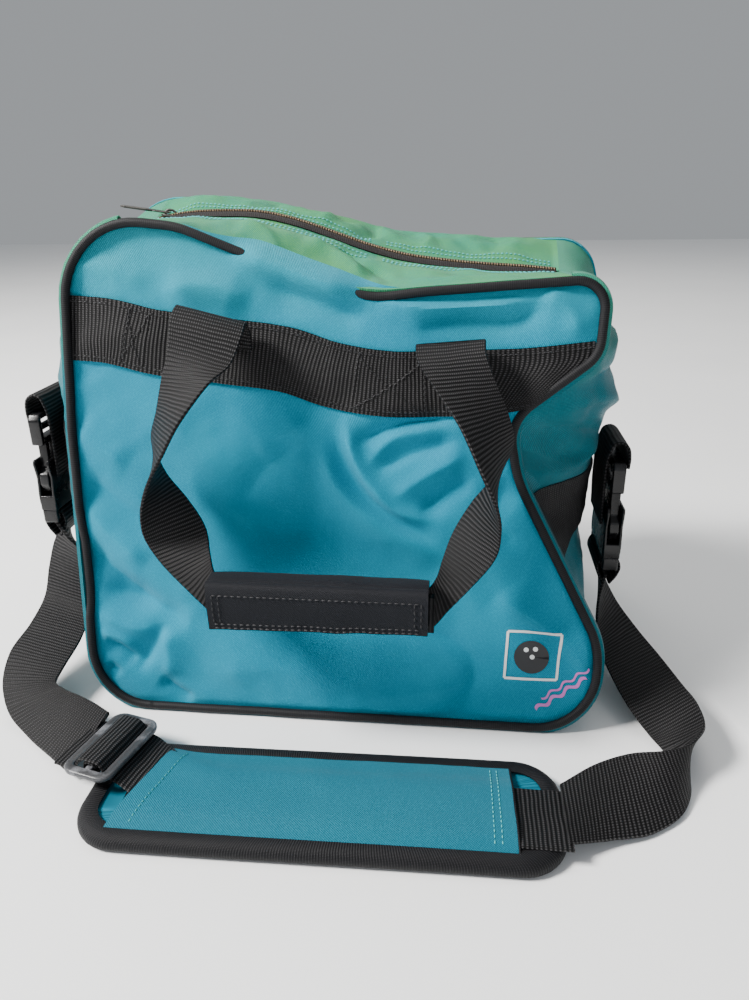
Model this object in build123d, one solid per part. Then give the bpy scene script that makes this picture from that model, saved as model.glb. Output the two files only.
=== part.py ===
from build123d import *
import math
import os

# A soft zippered bowling bag standing empty on its base, with its shoulder strap laid out in front.
# Millimetres. Origin at the centre of the base, on the surface the bag stands on.
# +X is the bag's right as seen from the front, -Y is its front, +Z is up.

os.makedirs("parts", exist_ok=True)

# ---- driving dimensions -------------------------------------------------------------------------
BASE_DEPTH = 220.0          # front piping to back piping along the table
LEAN = 0.2                  # how far each big panel leans inwards per millimetre of height
FABRIC = 2.5                # lined nylon with its foam backing
PIPING_RADIUS = 2.5
WEBBING_WIDTH = 38.0
WEBBING = 1.8               # thickness of one layer of webbing
CLEAR = 0.4                 # gap kept between pieces that move past each other

# Corners of the bag's outline (x, z, corner radius), at the front panel, the middle and the back.
FRONT_CORNERS = [
    (-152, 0, 38), (-156, 170, 300), (-153, 290, 44), (-85, 283, 60), (20, 247, 70),
    (149, 256, 17), (147, 213, 20), (101, 178, 20), (107, 148, 60), (157, 55, 50), (157, 0, 38),
]
MIDDLE_CORNERS = [
    (-165, 0, 38), (-184, 150, 150), (-168, 285, 50), (-92, 281.5, 60), (20, 263, 70),
    (150, 250, 22), (166, 190, 60), (157, 140, 80), (152, 90, 80), (156, 45, 60), (156, 0, 38),
]
BACK_CORNERS = [
    (-162, 0, 38), (-178, 150, 150), (-153, 296, 42), (-88, 293, 60), (40, 266, 70),
    (152, 266.5, 26), (176, 190, 60), (174, 140, 80), (168, 90, 80), (165, 45, 60), (164, 0, 38),
]

ZIP_LEFT = (-100.0, 281.5)  # the two ends of the straight zipper line (x, z), at y = 0
ZIP_RIGHT = (112.0, 252.0)
TAPE_EDGE = 5.0             # half the visible width of the zipper tape
COIL_EDGE = 2.3             # half the width of the closed coil
COIL_GAP = 0.7              # half the slot between the two coil halves
TAIL = 16.0                 # length of fixed zipper past each end of the mouth
PULL_TILT = 0.078           # radians that the pull rests above the horizontal, clear of the coil

FRONT_HANDLE_LEFT = (-62.0, -76.0, 236.0)    # where the front handle's webbing folds over
FRONT_HANDLE_RIGHT = (66.0, -76.0, 218.0)
GRIP_CENTRE = (-1.0, -128.0, 89.0)
GRIP_LENGTH = 118.0
HANDLE_BAND_HEIGHT = 215.0  # height of the webbing band along the front and back panels

LEFT_BUCKLE = (-191.0, -30.0, 176.0)         # top middle of each side-release buckle
RIGHT_BUCKLE = (169.0, -15.0, 148.0)
BUCKLE_WIDTH = 47.0
BUCKLE_LENGTH = 77.0
BUCKLE_THICKNESS = 11.0
MALE_LENGTH = 34.0          # the strap block of the male half that stays out of the female half

PAD_CENTRE = (6.0, -181.0)
PAD_LENGTH = 247.0
PAD_WIDTH = 72.0
PAD_THICKNESS = 7.0
STRAP_Y = -186.0            # middle line of the webbing where it runs through the pad
STRAP_Z = 9.0               # underside of the webbing inside the pad's sleeve

ADJUSTER = (-113.0, -164.0, 16.0)            # middle of the tri-glide's underside
ADJUSTER_TURN = -14.0
ADJUSTER_LENGTH = 30.0
ADJUSTER_WIDTH = 50.0
ADJUSTER_THICKNESS = 3.0

SLOPE = math.atan2(ZIP_LEFT[1] - ZIP_RIGHT[1], ZIP_RIGHT[0] - ZIP_LEFT[0])
ZIP_LENGTH = math.hypot(ZIP_RIGHT[0] - ZIP_LEFT[0], ZIP_LEFT[1] - ZIP_RIGHT[1])
PANEL_COS = 1 / math.hypot(1, LEAN)
PANEL_SIN = LEAN * PANEL_COS


# ---- helpers ------------------------------------------------------------------------------------
def panel_plane(side, inset):
    """Plane of a big panel: side -1 is the front and +1 the back, inset millimetres inwards."""
    normal = Vector(0, side * PANEL_COS, PANEL_SIN)
    origin = Vector(0, side * BASE_DEPTH / 2, 0) - normal * inset
    lift = -origin.Z / PANEL_COS
    along_slope = Vector(0, -side * PANEL_SIN, PANEL_COS)
    return Plane(origin=origin + along_slope * lift, x_dir=(-side, 0, 0), z_dir=normal)


def inset_corners(corners, distance):
    """Corners of the outline moved inwards, for an outline that runs clockwise seen from the front."""
    moved = []
    count = len(corners)
    for index, (x, z, radius) in enumerate(corners):
        before = corners[index - 1]
        after = corners[(index + 1) % count]
        first = Vector(x - before[0], z - before[1]).normalized()
        second = Vector(after[0] - x, after[1] - z).normalized()
        normals = Vector(first.Y, -first.X) + Vector(second.Y, -second.X)
        scale = distance / (normals.length / 2)
        step = normals.normalized() * scale
        turns_right = first.X * second.Y - first.Y * second.X < 0
        new_radius = radius - distance if turns_right else radius + distance
        moved.append((x + step.X, z + step.Y, new_radius))
    return moved


def outline(corners, plane, stretch=1.0):
    """Closed outline wire on a plane; stretch turns heights into distances along a leaning panel."""
    flip = plane.x_dir.X
    points = [plane.from_local_coords(Vector(flip * x, z * stretch, 0)) for x, z, _ in corners]
    line = FilletPolyline(*points, radius=[radius for _, _, radius in corners], close=True)
    return Wire(line.edges())


def bar(plane, low, high):
    """Box between two corners given in a plane's own coordinates."""
    size = [high[i] - low[i] for i in range(3)]
    centre = plane.from_local_coords(Vector(*[(high[i] + low[i]) / 2 for i in range(3)]))
    return Plane(origin=centre, x_dir=plane.x_dir, z_dir=plane.z_dir) * Box(*size)


def strap(sections, thickness, width=WEBBING_WIDTH):
    """Flat webbing through (centre, across, facing) sections, joined by ruled faces."""
    faces = []
    for centre, across, facing in sections:
        across = Vector(*across).normalized()
        facing = Vector(*facing)
        facing = (facing - across * facing.dot(across)).normalized()
        corners = []
        for a, b in ((-1, -1), (1, -1), (1, 1), (-1, 1)):
            corners.append(Vector(*centre) + across * (a * width / 2) + facing * (b * thickness / 2))
        faces.append(Face(Wire.make_polygon(corners)))
    return Solid.make_loft([face.outer_wire() for face in faces], ruled=True)


def ribbon(plane, points, thickness, width=WEBBING_WIDTH):
    """Flat webbing whose side view is a polyline on a plane, centred on that plane."""
    vectors = [Vector(*point) for point in points]
    upper = []
    lower = []
    for index, point in enumerate(vectors):
        first = (point - vectors[max(index - 1, 0)])
        second = (vectors[min(index + 1, len(vectors) - 1)] - point)
        first = first.normalized() if first.length else second.normalized()
        second = second.normalized() if second.length else first
        normal = (Vector(-first.Y, first.X) + Vector(-second.Y, second.X)).normalized()
        reach = thickness / 2 / max(normal.dot(Vector(-first.Y, first.X)), 0.5)
        upper.append(point + normal * reach)
        lower.append(point - normal * reach)
    polygon = Polyline(*upper, *reversed(lower), close=True)
    return extrude(plane * make_face(polygon), amount=width / 2, both=True)


def save(shape, name):
    """Write one node."""
    solid = shape if isinstance(shape, (Part, Solid, Compound)) else Part(shape)
    solid.label = name
    export_step(solid, "parts/" + name + ".step")


# ---- the bag's shell ----------------------------------------------------------------------------
ZIP_PLANE = Plane(
    origin=(ZIP_LEFT[0], 0, ZIP_LEFT[1]),
    x_dir=(math.cos(SLOPE), 0, -math.sin(SLOPE)),
    z_dir=(math.sin(SLOPE), 0, math.cos(SLOPE)),
)
MIDDLE = Plane(origin=(0, 0, 0), x_dir=(1, 0, 0), z_dir=(0, -1, 0))
PANEL_INSET = PIPING_RADIUS + 0.1
RING_INSET = PANEL_INSET + FABRIC


def make_panel(side, corners):
    """One big panel: a flat sheet of the sagged outline."""
    plane = panel_plane(side, RING_INSET)
    face = Face(outline(corners, plane, 1 / PANEL_COS))
    return extrude(face, amount=FABRIC, dir=plane.z_dir)


def make_piping(side, corners):
    """Round piping along the edge of a big panel, lying against its face."""
    plane = panel_plane(side, 0)
    path = outline(inset_corners(corners, PIPING_RADIUS + 0.2), plane, 1 / PANEL_COS)
    start = path @ 0
    tangent = path % 0
    section = Plane(origin=start, z_dir=tangent) * Circle(PIPING_RADIUS)
    return sweep(section, path=path)


def make_ring():
    """The band of fabric that joins the two big panels, all the way round."""
    solids = []
    for inset, reach in ((0, 0), (FABRIC, 1)):
        wires = []
        for side, corners in ((-1, FRONT_CORNERS), (1, BACK_CORNERS)):
            plane = panel_plane(side, RING_INSET - reach)
            wires.append((side, outline(inset_corners(corners, inset), plane, 1 / PANEL_COS)))
        middle = outline(inset_corners(MIDDLE_CORNERS, inset), MIDDLE)
        solids.append(Solid.make_loft([wires[0][1], middle, wires[1][1]], ruled=True))
    return solids[0] - solids[1]


def cut_shell():
    """Cut the ring into gussets and top flaps, and leave the slot for the zipper."""
    ring = make_ring()
    mouth = bar(ZIP_PLANE, (0, -120, -60), (ZIP_LENGTH, 120, 60))
    slot = bar(ZIP_PLANE, (-TAIL, -TAPE_EDGE - CLEAR, -60), (ZIP_LENGTH + TAIL + 4, TAPE_EDGE + CLEAR, 60))
    floor = Pos(0, 0, 10) * Box(224, 260, 40)
    sides = ring - mouth - slot - floor
    left = sides & (Pos(-200, 0, 150) * Box(400, 400, 400))
    right = sides & (Pos(200, 0, 150) * Box(400, 400, 400))
    flaps = []
    for side in (-1, 1):
        near = min(side * (TAPE_EDGE + CLEAR), side * 90)
        far = max(side * (TAPE_EDGE + CLEAR), side * 90)
        window = bar(ZIP_PLANE, (1.0, near, -60), (ZIP_LENGTH - 1.0, far, 60))
        plane = panel_plane(side, RING_INSET + 0.6)
        behind = bar(plane, (-300, -50, -200), (300, 400, 0))
        flaps.append(ring & window & behind)
    return left, right, flaps[0], flaps[1]


def make_bottom():
    """Flat fabric bottom between the two side gussets."""
    depth = BASE_DEPTH - 2 * RING_INSET / PANEL_COS - 1.0
    return Pos(0, 0, FABRIC / 2) * Box(223, depth, FABRIC)


def make_base_board():
    """Stiff board that lies loose in the bottom of the bag."""
    board = extrude(RectangleRounded(232, 196, 20), amount=3)
    return Pos(0, 0, FABRIC + 0.2) * board


def make_ball_cup():
    """Foam ring on the base board that stops the ball from rolling."""
    ring = extrude(Circle(70) - Circle(48), amount=22)
    return Pos(-18, 0, FABRIC + 3.4) * ring


# ---- zipper -------------------------------------------------------------------------------------
def make_zip_half(side, kind):
    """One half of the tape or the coil along the mouth."""
    spans = {"tape": (COIL_EDGE + 0.05, TAPE_EDGE, -1.4, -0.4), "coil": (COIL_GAP, COIL_EDGE, -2.4, 0.2)}
    inner, outer, low, high = spans[kind]
    near, far = sorted((side * inner, side * outer))
    return bar(ZIP_PLANE, (1.0, near, low), (ZIP_LENGTH - 1.0, far, high))


def make_zip_tail(start, end, stop):
    """Fixed end of the zipper: two rows of coil and tape joined by an end stop."""
    rows = []
    for side in (-1, 1):
        near, far = sorted((side * COIL_GAP, side * TAPE_EDGE))
        rows.append(bar(ZIP_PLANE, (start, near, -2.2), (end, far, -0.2)))
    stopper = bar(ZIP_PLANE, (min(stop, stop + 1.5), -TAPE_EDGE, -2.2), (max(stop, stop + 1.5), TAPE_EDGE, -0.2))
    return rows[0] + rows[1] + stopper


def make_slider():
    """Zipper slider: two plates joined by a thin web, with a bail on top for the pull."""
    middle = -TAIL / 2 + 0.5
    top = bar(ZIP_PLANE, (middle - 5, -4.2, 0.7), (middle + 5, 4.2, 1.7))
    bottom = bar(ZIP_PLANE, (middle - 5, -4.2, -4.0), (middle + 5, 4.2, -3.0))
    web = bar(ZIP_PLANE, (middle - 3, -0.3, -3.2), (middle + 3, 0.3, 1.0))
    bail = bar(ZIP_PLANE, (middle - 3.5, -1.0, 1.5), (middle + 3.5, 1.0, 4.8))
    hole = bar(ZIP_PLANE, (middle - 2.2, -2.0, 1.9), (middle + 2.2, 2.0, 3.8))
    return top + bottom + web + (bail - hole)


def make_pull():
    """Zipper pull: a wire loop through the bail and a flat tab that lies to the left."""
    middle = -TAIL / 2 + 0.5
    pivot = ZIP_PLANE.from_local_coords(Vector(middle - 1.0, 0, 2.9))
    plane = Plane(origin=pivot, x_dir=(-math.cos(PULL_TILT), 0, math.sin(PULL_TILT)), z_dir=(0, -1, 0))
    pin = Plane(origin=pivot, z_dir=(0, 1, 0)) * Cylinder(0.55, 6.4)
    arms = [bar(plane, (-0.6, -0.6, s * 2.7 - 0.5), (9, 0.6, s * 2.7 + 0.5)) for s in (-1, 1)]
    tab = bar(plane, (8.5, -0.6, -4), (30, 0.6, 4))
    return pin + arms[0] + arms[1] + tab


# ---- webbing bands, handles and grip --------------------------------------------------------------
def make_band(side):
    """Webbing sewn across a big panel."""
    plane = panel_plane(side, PANEL_INSET - 0.1)
    half = 142 if side > 0 else 118
    shift = 0 if side > 0 else -26
    low = HANDLE_BAND_HEIGHT - WEBBING_WIDTH / 2
    return bar(plane, (shift - half, low, 0.05), (shift + half, low + WEBBING_WIDTH, WEBBING))


def make_anchors(side):
    """Folds of webbing that hold the two ends of a handle, sewn to the band."""
    plane = panel_plane(side, PANEL_INSET - 0.1 - WEBBING - 0.15)
    ends = (FRONT_HANDLE_LEFT, FRONT_HANDLE_RIGHT)
    solids = []
    for x, y, z in ends:
        height = z / PANEL_COS
        local = side * -1 * x
        reach = plane.to_local_coords(Vector(x, side * abs(y), z)).Z - 2.2
        tab = bar(plane, (local - 19, height - 16, 0.1), (local + 19, height - 3, reach))
        solids.append(tab)
    return Compound(children=solids)


def handle_sections(x_side, y_sign):
    """Sections of one side of a handle, from the fold at the band down to the grip."""
    fold = FRONT_HANDLE_LEFT if x_side < 0 else FRONT_HANDLE_RIGHT
    tilt = -0.12
    start = (fold[0], fold[1] - 1.6, fold[2] - 1.5)
    elbow = (x_side * 94 - 4, -109, 148)
    end = (GRIP_CENTRE[0] + x_side * (GRIP_LENGTH / 2 + 16.8), GRIP_CENTRE[1], GRIP_CENTRE[2] + 8)
    sections = [
        (start, (1, 0, tilt), (0, -1, 0.1)),
        ((fold[0] + x_side * 14, -90, fold[2] - 40), (1, 0, x_side * 0.35), (0, -1, 0.2)),
        (elbow, (0.8, -0.45, x_side * 0.35), (x_side * 0.2, -1, 0.2)),
        (end, (1, 0, x_side * 0.9), (0, -1, 0.3)),
    ]
    if y_sign > 0:
        sections = [
            ((c[0], -c[1], c[2]), (a[0], -a[1], a[2]), (f[0], -f[1], f[2])) for c, a, f in sections
        ]
    return sections


def make_grip_core(y_sign):
    """The two layers of webbing folded together along the grip."""
    x, y, z = GRIP_CENTRE
    return Pos(x, y_sign * abs(y), z) * Box(GRIP_LENGTH + 4, 5.0, 22)


def grip_plane():
    """Plane through the middle of the grip, facing forwards."""
    x, y, z = GRIP_CENTRE
    return Plane(origin=(x, y, z), x_dir=(1, 0, 0), z_dir=(0, -1, 0))


def make_wrap_body():
    """Padded wrap round the grip: a flattened tube open along its lower front edge."""
    outer = extrude(RectangleRounded(16, 34, 7.4), amount=GRIP_LENGTH, both=False)
    inner = extrude(RectangleRounded(11, 29, 5), amount=GRIP_LENGTH, both=False)
    tube = outer - inner
    x, y, z = GRIP_CENTRE
    plane = Plane(origin=(x - GRIP_LENGTH / 2, y, z), x_dir=(0, -1, 0), z_dir=(1, 0, 0))
    return plane * tube


def make_wrap_flap():
    """Closing flap of the wrap, over its front face, hinged along the top edge."""
    return bar(grip_plane(), (-GRIP_LENGTH / 2, -20, 9.7), (GRIP_LENGTH / 2, 17, 12.2))


def make_fastener_strip(kind):
    """Hook or loop strip between the wrap and its flap."""
    low, high = {"hook": (9.0, 9.6), "loop": (8.1, 8.7)}[kind]
    return bar(grip_plane(), (-GRIP_LENGTH / 2 + 5, -16, low), (GRIP_LENGTH / 2 - 5, -2, high))


# ---- shoulder strap hardware ----------------------------------------------------------------------
def buckle_plane(top):
    """Buckle coordinates: x across (along Y), y up, z outwards along X."""
    side = 1 if top[0] > 0 else -1
    return Plane(origin=top, x_dir=(0, side, 0), z_dir=(side, 0, 0))


def make_buckle_anchor(top):
    """Webbing that rises from the side band and loops through the bar of the male half."""
    side = 1 if top[0] > 0 else -1
    plane = Plane(origin=(0, top[1], 0), x_dir=(side, 0, 0), z_dir=(0, -side, 0))
    out = abs(top[0])
    points = [(out - 6.9, top[2] - 46), (out - 8.2, top[2] - 20), (out - 6.4, top[2] + 3), (out - 1.5, top[2] + 6.5)]
    points += [(out + 3.5, top[2] + 4.5), (out + 5.0, top[2] - 2), (out + 4.2, top[2] - 10)]
    return ribbon(plane, points, WEBBING)


def make_male(top):
    """Male half: a strap block with a bar, and a flat tongue that guides it into the female half."""
    plane = buckle_plane(top)
    half = BUCKLE_WIDTH / 2
    block = bar(plane, (-half, -MALE_LENGTH + 10, -4.5), (half, -4, 3.2))
    slot_in = bar(plane, (-20, -12, -9), (20, -7.5, 9))
    slot_out = bar(plane, (-20, -19.5, -9), (20, -15.5, 9))
    tongue = bar(plane, (-9, -BUCKLE_LENGTH + 14, -1.6), (9, -MALE_LENGTH + 11, 1.6))
    return block - slot_in - slot_out + tongue


def make_prong(top, side):
    """One springy arm of the male half, with the shoulder that shows at the side of the buckle."""
    plane = buckle_plane(top)
    near, far = sorted((side * 13.5, side * 17.5))
    arm = bar(plane, (near, -MALE_LENGTH - 22, -2.6), (far, -MALE_LENGTH + 9.6, 2.6))
    near, far = sorted((side * 17.0, side * 22.8))
    shoulder = bar(plane, (near, -MALE_LENGTH - 22, -3.2), (far, -MALE_LENGTH - 8, 3.2))
    return arm + shoulder


def make_female(top):
    """Female half: a flat hollow body with side windows and a strap bar below."""
    plane = buckle_plane(top)
    half = BUCKLE_WIDTH / 2
    thick = BUCKLE_THICKNESS / 2
    body = bar(plane, (-half, -BUCKLE_LENGTH, -thick), (half, -MALE_LENGTH, thick))
    pocket = bar(plane, (-19, -BUCKLE_LENGTH + 13, -3.6), (19, -MALE_LENGTH + 2, 3.6))
    window = bar(plane, (-half - 2, -MALE_LENGTH - 24, -3.8), (half + 2, -MALE_LENGTH + 2, 3.8))
    slot = bar(plane, (-20, -BUCKLE_LENGTH + 4, -9), (20, -BUCKLE_LENGTH + 8.5, 9))
    return body - pocket - window - slot


def make_strap_end(top):
    """End of the shoulder strap looped through the female half's bar and sewn to itself."""
    side = 1 if top[0] > 0 else -1
    plane = Plane(origin=(0, top[1], 0), x_dir=(side, 0, 0), z_dir=(0, -side, 0))
    out = abs(top[0])
    low = top[2] - BUCKLE_LENGTH
    points = [(out + 1.6, low - 12), (out + 6.9, low - 1), (out + 6.9, low + 6.25), (out - 6.9, low + 6.25)]
    points += [(out - 6.9, low - 1), (out - 1.6, low - 12)]
    return ribbon(plane, points, WEBBING)


LEFT_RISER = [
    ((-191, -30, 86), (0, -1, 0), (-1, 0, 0)),
    ((-188, -40, 76), (0.75, -0.65, 0), (-0.65, -0.75, 0)),
    ((-192, -46, 44), (0.95, -0.3, 0), (-0.3, -0.9, 0.3)),
    ((-190, -80, 27), (0.95, -0.2, -0.1), (-0.1, -0.6, 0.8)),
    ((-192, -110, 21), (0.93, -0.35, -0.1), (-0.2, -0.5, 0.85)),
]
LEFT_RUN = [
    ((-190, -117, 16), (-0.93, 0.2, -0.1), (-0.1, -0.3, 0.9)),
    ((-163, -134, 12), (-0.7, -0.5, -0.4), (-0.3, -0.4, 0.85)),
    ((-134.5, -158.5, 14.2), (-0.24, -0.97, -0.1), (0.0, -0.1, 1)),
]
RIGHT_RISER = [
    ((169, -15, 58.5), (0, 1, 0), (1, 0, 0)),
    ((170, -18, 48), (0.15, 1, 0), (1, -0.1, 0.1)),
    ((179, -45, 25), (0.65, 0.75, 0), (0.6, -0.5, 0.6)),
    ((192, -85, 17), (0.86, 0.5, 0.1), (0.3, -0.5, 0.8)),
    ((200, -118, 17), (0.85, 0.1, 0.3), (-0.1, -0.4, 0.85)),
]
RIGHT_RUN = [
    ((197.5, -135, 11.5), (-0.6, 0.75, -0.1), (0.2, 0.2, 0.9)),
    ((190, -150, 12.5), (-0.4, 0.8, 0.45), (0.2, -0.5, 0.85)),
    ((172, -161, 11), (0, 0.87, 0.5), (0, -0.5, 0.87)),
    ((150, -172, 12), (0.05, 0.93, 0.36), (0, -0.36, 0.93)),
    ((133, -181, 11.6), (0, 1, 0.1), (0, -0.1, 1)),
]
LEFT_SIDE_BAND = [
    ((-159, -76, 145), (0, 0.05, 1), (-1, -0.35, 0)),
    ((-185.2, 0, 145), (0, 0, 1), (-1, 0, 0)),
    ((-179.5, 76, 145), (0, -0.05, 1), (-1, 0.1, 0)),
]
RIGHT_SIDE_BAND = [
    ((131, -76, 118), (-0.42, 0, 0.9), (0.9, -0.35, 0.42)),
    ((157.3, 0, 116), (0, 0, 1), (1, -0.3, 0)),
    ((176, 76, 116), (0.05, 0, 1), (1, -0.2, 0)),
]


def adjuster_plane():
    return Plane(origin=ADJUSTER, x_dir=(1, 0, 0), z_dir=(0, 0, 1)).rotated((0, 0, ADJUSTER_TURN))


def make_adjuster():
    """Tri-glide: a rounded frame with a middle bar."""
    frame = RectangleRounded(ADJUSTER_LENGTH, ADJUSTER_WIDTH, 5)
    opening = Rectangle(8.4, ADJUSTER_WIDTH - 9)
    face = frame - Pos(-6.4, 0) * opening - Pos(6.4, 0) * opening
    return adjuster_plane() * extrude(face, amount=ADJUSTER_THICKNESS)


def make_adjuster_loop():
    """End of the strap sewn round the tri-glide's middle bar."""
    outer = Rectangle(8.4, ADJUSTER_THICKNESS + 4.0)
    inner = Rectangle(5.2, ADJUSTER_THICKNESS + 0.8)
    middle = adjuster_plane().origin + Vector(0, 0, ADJUSTER_THICKNESS / 2)
    across = adjuster_plane().y_dir
    plane = Plane(origin=middle, x_dir=adjuster_plane().x_dir, z_dir=across * -1)
    return extrude(plane * (outer - inner), amount=WEBBING_WIDTH / 2, both=True)


def make_weave():
    """The strap threading under, over and under the tri-glide's three bars."""
    base = adjuster_plane()
    plane = Plane(origin=base.origin, x_dir=base.x_dir, z_dir=base.y_dir * -1)
    over = ADJUSTER_THICKNESS + 2.0 + WEBBING
    points = [(-20.5, -1.9), (-10.1, -1.9), (-6.6, over), (6.6, over), (10.1, -1.9), (13, -4.0)]
    return ribbon(plane, points, 1.5)


def make_pad_run():
    """The strap's straight run through the pad's sleeve."""
    return Pos(18.3, STRAP_Y, STRAP_Z + WEBBING / 2) * Box(227, WEBBING_WIDTH, WEBBING)


def pad_outline(grow):
    return RectangleRounded(PAD_LENGTH + 2 * grow, PAD_WIDTH + 2 * grow, 22 + grow)


def make_pad():
    """Foam pad with its lower cover."""
    return Pos(PAD_CENTRE[0], PAD_CENTRE[1], 0) * extrude(pad_outline(-2.5), amount=PAD_THICKNESS)


def make_pad_binding():
    """Grosgrain binding round the pad's edge."""
    ring = extrude(pad_outline(0) - pad_outline(-2.4), amount=PAD_THICKNESS + 1.0)
    return Pos(PAD_CENTRE[0], PAD_CENTRE[1], 0) * ring


def make_pad_sleeve():
    """Upper cover of the pad, which leaves a tunnel for the webbing."""
    length = PAD_LENGTH - 44
    base = Pos(PAD_CENTRE[0], PAD_CENTRE[1], PAD_THICKNESS + 0.1)
    outer = base * Pos(0, 0, 2.9) * Box(length, PAD_WIDTH - 8, 5.8)
    tunnel = Pos(PAD_CENTRE[0], STRAP_Y, STRAP_Z + 0.95) * Box(length + 20, WEBBING_WIDTH + 2.4, 3.1)
    return outer - tunnel


def make_emblem():
    """Printed emblem low on the front panel's right."""
    plane = panel_plane(-1, PANEL_INSET)
    disc = Pos(118, 48) * Circle(15)
    stripe = Pos(132, 22) * Rectangle(24, 3)
    return plane * extrude(disc + stripe, amount=0.3).moved(Location((0, 0, 0.05)))


# ---- write every node -----------------------------------------------------------------------------
def main():
    save(make_panel(-1, FRONT_CORNERS), "front_panel")
    save(make_panel(1, BACK_CORNERS), "back_panel")
    save(make_piping(-1, FRONT_CORNERS), "front_piping")
    save(make_piping(1, BACK_CORNERS), "back_piping")
    left, right, flap_front, flap_rear = cut_shell()
    save(left, "left_gusset")
    save(right, "right_gusset")
    save(flap_front, "top_flap_front")
    save(flap_rear, "top_flap_rear")
    save(make_bottom(), "bottom_panel")
    save(make_base_board(), "base_board")
    save(make_ball_cup(), "ball_cup")

    for side, name in ((-1, "front"), (1, "rear")):
        save(make_zip_half(side, "tape"), "zipper_tape_" + name)
        save(make_zip_half(side, "coil"), "zipper_coil_" + name)
    save(make_zip_tail(-TAIL + 0.4, -0.6, -TAIL + 0.4), "zipper_tail_left")
    save(make_zip_tail(ZIP_LENGTH + 0.6, ZIP_LENGTH + TAIL, ZIP_LENGTH + TAIL - 1.5), "zipper_tail_right")
    save(make_slider(), "zipper_slider")
    save(make_pull(), "zipper_pull")

    for side, name in ((-1, "front"), (1, "back")):
        save(make_band(side), name + "_band")
        save(make_anchors(side), name + "_handle_anchors")
        save(strap(handle_sections(-1, side), WEBBING), name + "_handle_strap_left")
        save(strap(handle_sections(1, side), WEBBING), name + "_handle_strap_right")
        save(make_grip_core(side), name + "_handle_grip")
    save(make_wrap_body(), "grip_wrap")
    save(make_wrap_flap(), "grip_wrap_flap")
    save(make_fastener_strip("hook"), "wrap_hook_strip")
    save(make_fastener_strip("loop"), "wrap_loop_strip")

    for top, name in ((LEFT_BUCKLE, "left"), (RIGHT_BUCKLE, "right")):
        save(make_buckle_anchor(top), name + "_buckle_anchor")
        save(make_male(top), name + "_buckle_male")
        save(make_prong(top, -1), name + "_prong_a")
        save(make_prong(top, 1), name + "_prong_b")
        save(make_female(top), name + "_buckle_female")
        save(make_strap_end(top), name + "_strap_end")
    save(strap(LEFT_SIDE_BAND, WEBBING), "left_side_band")
    save(strap(RIGHT_SIDE_BAND, WEBBING), "right_side_band")
    save(strap(LEFT_RISER, 2 * WEBBING), "left_riser")
    save(strap(LEFT_RUN, WEBBING), "left_run")
    save(strap(RIGHT_RISER, WEBBING), "right_riser")
    save(strap(RIGHT_RUN, WEBBING), "right_run")
    save(make_weave(), "adjuster_weave")
    save(make_pad_run(), "pad_run")
    save(make_adjuster(), "adjuster")
    save(make_adjuster_loop(), "adjuster_loop")
    save(make_pad(), "shoulder_pad")
    save(make_pad_binding(), "pad_binding")
    save(make_pad_sleeve(), "pad_sleeve")
    save(make_emblem(), "emblem")


main()
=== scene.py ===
"""Visible surfaces of a soft zippered bowling bag with its shoulder strap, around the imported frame.

Every size below is in millimetres in the frame's own axes: +X right, -Y front, +Z up.
"""
import sys
import logging
import math
from dataclasses import dataclass, field
from enum import Enum

import bmesh
import bpy
import numpy as np
from mathutils import Matrix, Vector, noise


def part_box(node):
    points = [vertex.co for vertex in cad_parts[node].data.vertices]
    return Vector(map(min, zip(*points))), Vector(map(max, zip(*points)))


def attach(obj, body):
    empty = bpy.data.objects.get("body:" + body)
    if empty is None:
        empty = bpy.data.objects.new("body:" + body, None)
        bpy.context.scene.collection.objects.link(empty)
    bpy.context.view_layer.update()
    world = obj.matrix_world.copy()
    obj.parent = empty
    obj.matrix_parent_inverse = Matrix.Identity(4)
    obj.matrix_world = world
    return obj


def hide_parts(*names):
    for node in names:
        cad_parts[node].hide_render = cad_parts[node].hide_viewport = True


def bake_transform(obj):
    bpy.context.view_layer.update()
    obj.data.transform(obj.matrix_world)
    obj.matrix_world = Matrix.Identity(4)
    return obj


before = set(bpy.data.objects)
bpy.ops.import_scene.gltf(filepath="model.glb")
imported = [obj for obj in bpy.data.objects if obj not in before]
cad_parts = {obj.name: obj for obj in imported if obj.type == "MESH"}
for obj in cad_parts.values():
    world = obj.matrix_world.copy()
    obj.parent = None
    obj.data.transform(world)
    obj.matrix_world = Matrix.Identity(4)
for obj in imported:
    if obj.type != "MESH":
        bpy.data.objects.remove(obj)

Piece = bpy.types.Object
Points = np.ndarray
Socket = bpy.types.NodeSocket

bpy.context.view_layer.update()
MM = 0.001
LOG = logging.getLogger("bowling_bag")

BASE_DEPTH = 220.0          # front piping to back piping on the table
LEAN = 0.2                  # inward lean of the two big panels
PANEL_COS = 1 / math.hypot(1, LEAN)
PANEL_SIN = LEAN * PANEL_COS
PANEL_SETBACK = 2.65        # from the piping's centre plane back to the panel's face
PIPING_RADIUS = 2.5
WEBBING_WIDTH = 38.0
WEBBING = 1.8
LINING = 2.2
FOLD_DEPTH = 1.2            # how deep the drawn folds are pressed
FOLD_TIGHTNESS = 0.85
CRISP_ANGLE = 0.9           # radians between faces that makes a hard edge
WELD = 1e-7                 # metres under which two points are one

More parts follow.
